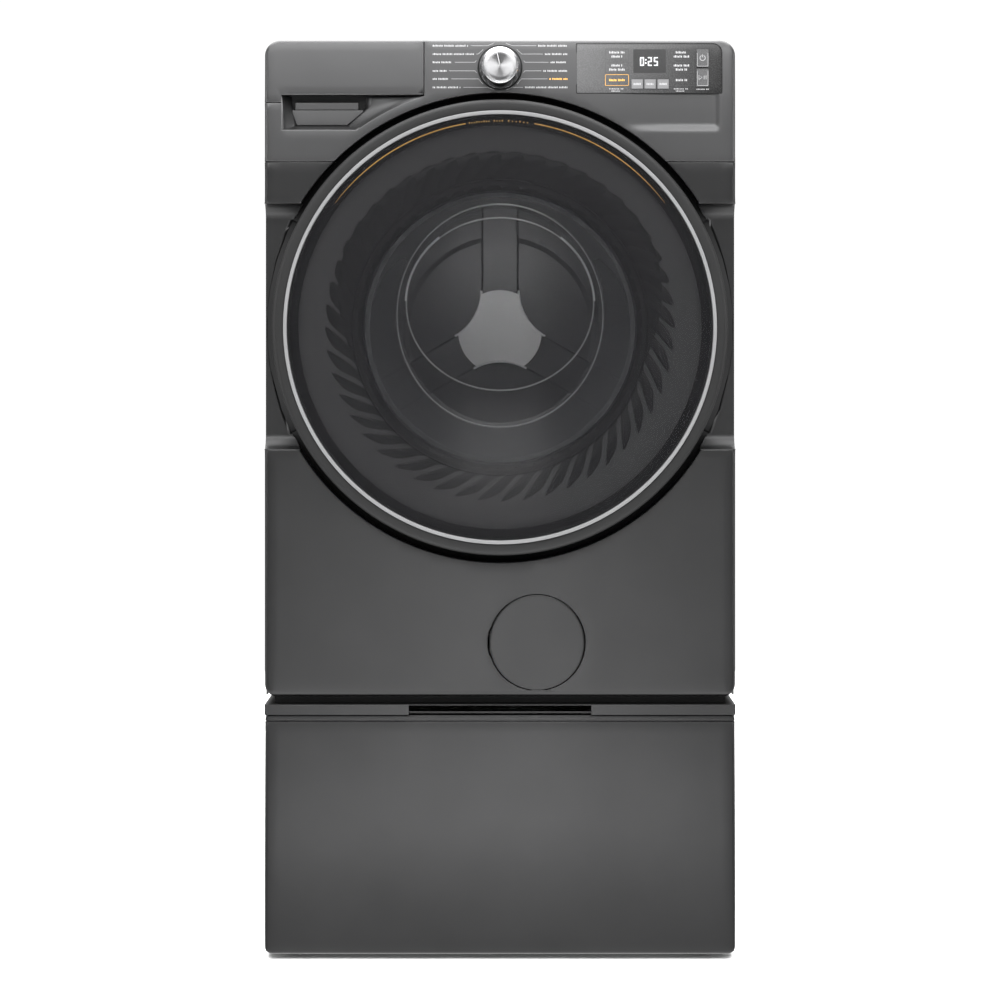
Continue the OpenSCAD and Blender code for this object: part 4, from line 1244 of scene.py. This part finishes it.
def make_touch_panel():
    low, high = OVERLAY_LOW, OVERLAY_HIGH
    loop = fillet(rect(low.x, low.z, high.x, high.z), [0.6, 0.6, 13, 0.6], 8)
    skin = rimmed_plate([loop], lambda a, b: 0.3, FRONT_Y - 0.4, 3, 10, console_lean)
    skin_piece("touch_overlay", skin, "cabinet", TOUCH, ("touch_panel",), thick=0.3)
    edge, inner = offset_loop(loop, -1.1), offset_loop(loop, 0.1)
    rows = [[(x, FRONT_Y + console_lean(x, z) + y, z) for x, z in ring]
            for ring, y in ((edge, 1), (edge, -0.15), (inner, -0.2), (inner, 1))]
    piece("touch_panel_border", loft(rows, closed_ends=True), "cabinet", BLACK)
    window = printed(fillet(rect(*WINDOW), 1, 2), PRINT_UP)
    piece("display_window", window, "cabinet", DISPLAY)
    z = WINDOW[1] + 10.4
    lit = []
    for x, segments in DISPLAY_DIGITS:
        lit += digit(segments, x, z)
    lit += [printed(rect(211.8, z + up, 213.3, z + up + 1.7), PRINT_UP + 0.14)
            for up in (3.2, 7.9)]
    piece("display_digits", join(*lit), "cabinet", DIGITS)
    pads, words, gold = [], [], []
    for column, (x0, x1) in enumerate((LEFT_KEYS, RIGHT_KEYS)):
        for row, (z0, z1) in enumerate(KEY_ROWS):
            pads.append(frame_line(x0, z0, x1, z1, 0.5, PRINT_UP - 0.05))
            lines = ((z0 + z1) / 2,) if row == 2 else ((z0 + z1) / 2 + 3, (z0 + z1) / 2 - 3)
            for n, at in enumerate(lines):
                inset = 6 + 3 * ((row + n + column) % 2)
                bars = word_bars(x0 + inset, x1 - inset, at, row + n, 3.2, PRINT_UP + 0.12)
                (gold if (column, row) == (0, 2) else words).extend(bars)
        for n, at in enumerate((1268.9, 1265.7)):
            words += word_bars(x0 + 6 + 3 * n, x1 - 8 - 3 * n, at, n, 1.5, PRINT_UP)
    words += word_bars(286, 305, 1268.4, 1, 1.6, PRINT_UP)
    piece("touch_key_outlines", join(*pads), "cabinet", KEY_LINE)
    piece("touch_key_print", join(*words), "cabinet", WHITE_PRINT)
    gold.append(frame_line(LEFT_KEYS[0], KEY_ROWS[2][0], LEFT_KEYS[1], KEY_ROWS[2][1], 0.5,
                           PRINT_UP + 0.1))
    piece("touch_key_gold", join(*gold), "cabinet", GOLD)


# Line width and lines, from the key's middle, of the power mark and the play and pause mark.
KEY_MARKS = {
    "power": (0.9, (arc(0, 0, 3.8, 115, 425, 28), ((0, 1), (0, 5.2)))),
    "start": (0.8, (((-5.4, -3), (-5.4, 3), (-0.8, 0), (-5.4, -3)), ((2.2, -2.8), (2.2, 2.8)),
                    ((5, -2.8), (5, 2.8)))),
}


def make_key_print():
    """Plain marks on the moving keys. Each rides on its own key."""
    for key in ("temperature", "spin", "soil", "power", "start"):
        low, high = box(key + "_key")
        x, z = (low.x + high.x) / 2, (low.z + high.z) / 2
        proud = FRONT_Y + console_lean(0, z) - low.y
        if key in KEY_MARKS:
            up, width, paths = proud + 0.35, *KEY_MARKS[key]
            marks = [frame_line(low.x + 0.4, low.z + 0.5, high.x - 0.4, high.z - 0.5, 0.6, up)]
            marks += [line([(x + u, z + v) for u, v in path], width, up) for path in paths]
        else:
            marks = word_bars(low.x + 3, high.x - 3, z, len(key) + 4, 3.2, proud + 0.05)
        piece(key + "_key_print", join(*marks), key + "_button",
              SOFT_WHITE if key in KEY_MARKS else WHITE_PRINT)


make_fascia()
make_handle_plate()
make_dispenser_front()
make_knob()
make_cycle_print()
make_touch_panel()
make_key_print()


# ---------------------------------------------------------------- top and flexible parts

def make_top():
    """Lid sheet with rounded side and back edges."""
    low, high = box("top_panel")
    start = math.degrees(math.asin(1 - (high.z - low.z) / CORNER_R))
    corner = arc(high.x - CORNER_R, high.z - CORNER_R, CORNER_R, start, 90, 10)
    half = [(corner[0][0], low.z + 0.2)] + corner
    back_r = 8
    rows = [(low.y, 0), (low.y + 40, 0), (0, 0)]
    rows += [(high.y - back_r + y, back_r - up) for y, up in arc(0, 0, back_r, 90, 0, 8)]
    skin = []
    for y, drop in rows:
        right = [(x - drop, y, max(z - drop, low.z + 0.2)) for x, z in half]
        left = [(-x, y, z) for x, y, z in reversed(right)]
        flat = [(high.x * f, y, high.z - drop) for f in (0.5, 0, -0.5)]
        skin.append(right + flat + left)
    piece("top_skin", loft(skin, caps=True), "cabinet", PAINT, ("top_panel",),
          sharp=50)


def coil(cx, cy, low, high, radius, turns):
    """Centre line of a coil spring with a hook at each end."""
    per_turn = 20
    points = [(cx, cy, low), (cx, cy, low + 6)]
    count = int(turns * per_turn)
    for k in range(count + 1):
        a = 2 * math.pi * k / per_turn
        z = low + 12 + (high - low - 24) * k / count
        points.append((cx + radius * math.cos(a), cy + radius * math.sin(a), z))
    return points + [(cx, cy, high - 6), (cx, cy, high)]


def make_springs():
    """Springs that hang the tub."""
    low, high = box("suspension_springs")
    shapes = []
    for side in (-1, 1):
        x = side * (high.x - 13)
        shapes.append(tube(coil(x, (low.y + high.y) / 2, low.z, high.z, 11, 9), 2, 8))
    obj = piece("hanging_springs", join(*shapes), None, ZINC,
                ("suspension_springs",))
    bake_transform(obj)


def wavy(bore, inner, outer, start, end, pitch, total):
    """Profile of a hose with soft round ribs between two plain ends."""
    points = [(bore, 0), (inner, 0), (inner, start)]
    steps = int((end - start) / pitch * 8)
    for k in range(1, steps):
        z = start + (end - start) * k / steps
        wave = (1 - math.cos(2 * math.pi * (z - start) / pitch)) / 2
        points.append((inner + (outer - inner) * wave, z))
    return points + [(inner, end), (inner, total), (bore, total)]


def make_hoses():
    """Ribbed hoses between the cabinet and the tub. Each is given by its profile, and by the
    heights, from its lower end, where it is held by the cabinet and by the tub; the heights are
    not used."""
    for node, radii, ribs, held in (
            ("dispenser_hose", (14.3, 18, 21), (10, 28, 6), (28, 8)),
            ("sump_hose", (18.3, 22, 28), (16, 64, 16), (12, 68))):
        low, high = box(node)
        profile = wavy(*radii, *ribs, high.z - low.z)
        shape = lathe_z([(r, low.z + z) for r, z in profile], (low.x + high.x) / 2,
                        (low.y + high.y) / 2, 48)
        hose = piece(node + "_ribbed", shape, None, BLACK_RUBBER, (node,))
        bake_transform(hose)


make_top()
make_springs()
make_hoses()


# ---------------------------------------------------------------- camera and light

def make_camera():
    distance, eye_z, frame_h = 4.0, 0.87, 1.4565
    data = bpy.data.cameras.new("camera")
    cam = bpy.data.objects.new("camera", data)
    bpy.context.collection.objects.link(cam)
    middle_z = TOP_Z * MM / 2
    cam.location = (0, FRONT_Y * MM - distance, eye_z)
    cam.rotation_euler = (math.pi / 2, 0, 0)
    data.sensor_width = 36
    data.lens = 36 * distance / frame_h
    data.shift_y = (middle_z - eye_z) / frame_h
    data.clip_end = 40
    bpy.context.scene.camera = cam


def area_light(name, place, target, size, power):
    data = bpy.data.lights.new(name, "AREA")
    data.shape = "RECTANGLE"
    data.size, data.size_y = size
    data.energy = power
    obj = bpy.data.objects.new(name, data)
    bpy.context.collection.objects.link(obj)
    obj.location = place
    way = Vector(target) - Vector(place)
    obj.rotation_euler = way.to_track_quat("-Z", "Y").to_euler()
    return obj


# Brightness of the studio by height of direction, from straight down to straight up.
ROOM_LEVELS = ((0.0, 3.0), (0.2, 3.0), (0.32, 1.1), (0.41, 0.24), (0.58, 0.28), (0.68, 1.1),
               (0.8, 3.0), (1.0, 3.0))


def studio_world(white, side):
    """White behind the machine. The studio it mirrors is darker to the sides than in front,
    with a bright edge far out on each side."""
    world = bpy.data.worlds.new("studio")
    world.use_nodes = True
    tree = world.node_tree
    seen = tree.nodes["Background"]
    feed(tree, seen, {"Color": (1, 1, 1, 1), "Strength": white})
    place = add_node(tree, "TexCoord", {})["Generated"]
    way = add_node(tree, "SeparateXYZ", {"Vector": place})
    levels = tree.nodes.new("ShaderNodeValToRGB")
    stops = levels.color_ramp.elements
    for i, (at, level) in enumerate(ROOM_LEVELS):
        stop = stops[i] if i < 2 else stops.new(at)
        stop.position = at
        stop.color = (level * 0.8, level * 0.8, level * 0.8, 1)
    feed(tree, levels, {"Fac": spread(tree, way["Z"], 0, 1, -1, 1)})
    around = add_node(tree, "Math", {0: way["X"]}, operation="ABSOLUTE")["Value"]
    level = spread(tree, around, 1.25, 1.25 * side, 0.35, 0.8)
    far_side = spread(tree, around, 0, 7, 0.91, 0.98)
    both = add_node(tree, "Math", {0: level, 1: far_side}, operation="ADD")["Value"]
    room = add_node(tree, "Background", {"Color": levels.outputs["Color"], "Strength": both})
    camera_ray = add_node(tree, "LightPath", {})["Is Camera Ray"]
    mix = add_node(tree, "MixShader", {"Fac": camera_ray, 1: room["Background"],
                                       2: seen.outputs["Background"]})
    feed(tree, tree.nodes["World Output"], {"Surface": mix["Shader"]})
    bpy.context.scene.world = world


def make_studio():
    studio_world(1.05, 0.3)
    floor = finish("pale_floor", (0.86, 0.86, 0.86), (0.9, 0.9, 0.9), (0.7, 0.8), grain=40,
                   bump=0.02)
    mesh = bpy.data.meshes.new("floor")
    s = 3.4
    mesh.from_pydata([(-s, -s, 0), (s, -s, 0), (s, s, 0), (-s, s, 0)], [], [(0, 1, 2, 3)])
    mesh.materials.append(floor)
    obj = bpy.data.objects.new("floor", mesh)
    bpy.context.collection.objects.link(obj)
    obj.visible_glossy = False
    area_light("top_light", (0, -0.2, 4.5), (0, 0, 0), (6, 6), 420)
    area_light("front_light", (0, -3.8, 0.26), (0, 0, 0.5), (0.5, 0.5), 11.5)
    low_light = area_light("low_light", (0, -1.5, 0.05), (0, 0, 0.5), (1.0, 0.12), 2.6)
    low_light.visible_camera = False
    area_light("high_light", (0, -3.2, 2.5), (0, 0, 1.2), (2.4, 0.8), 40)
    for name, x in (("left_light", -3.0), ("right_light", 3.0)):
        area_light(name, (x, -2.2, 1.2), (0, 0, 0.8), (0.4, 2.2), 24)
    area_light("drum_light", (0, -0.16, 1.06), (0, 0.2, 0.92), (0.12, 0.05), 0.62)
    bpy.context.scene.view_settings.view_transform = "Standard"


make_camera()
make_studio()
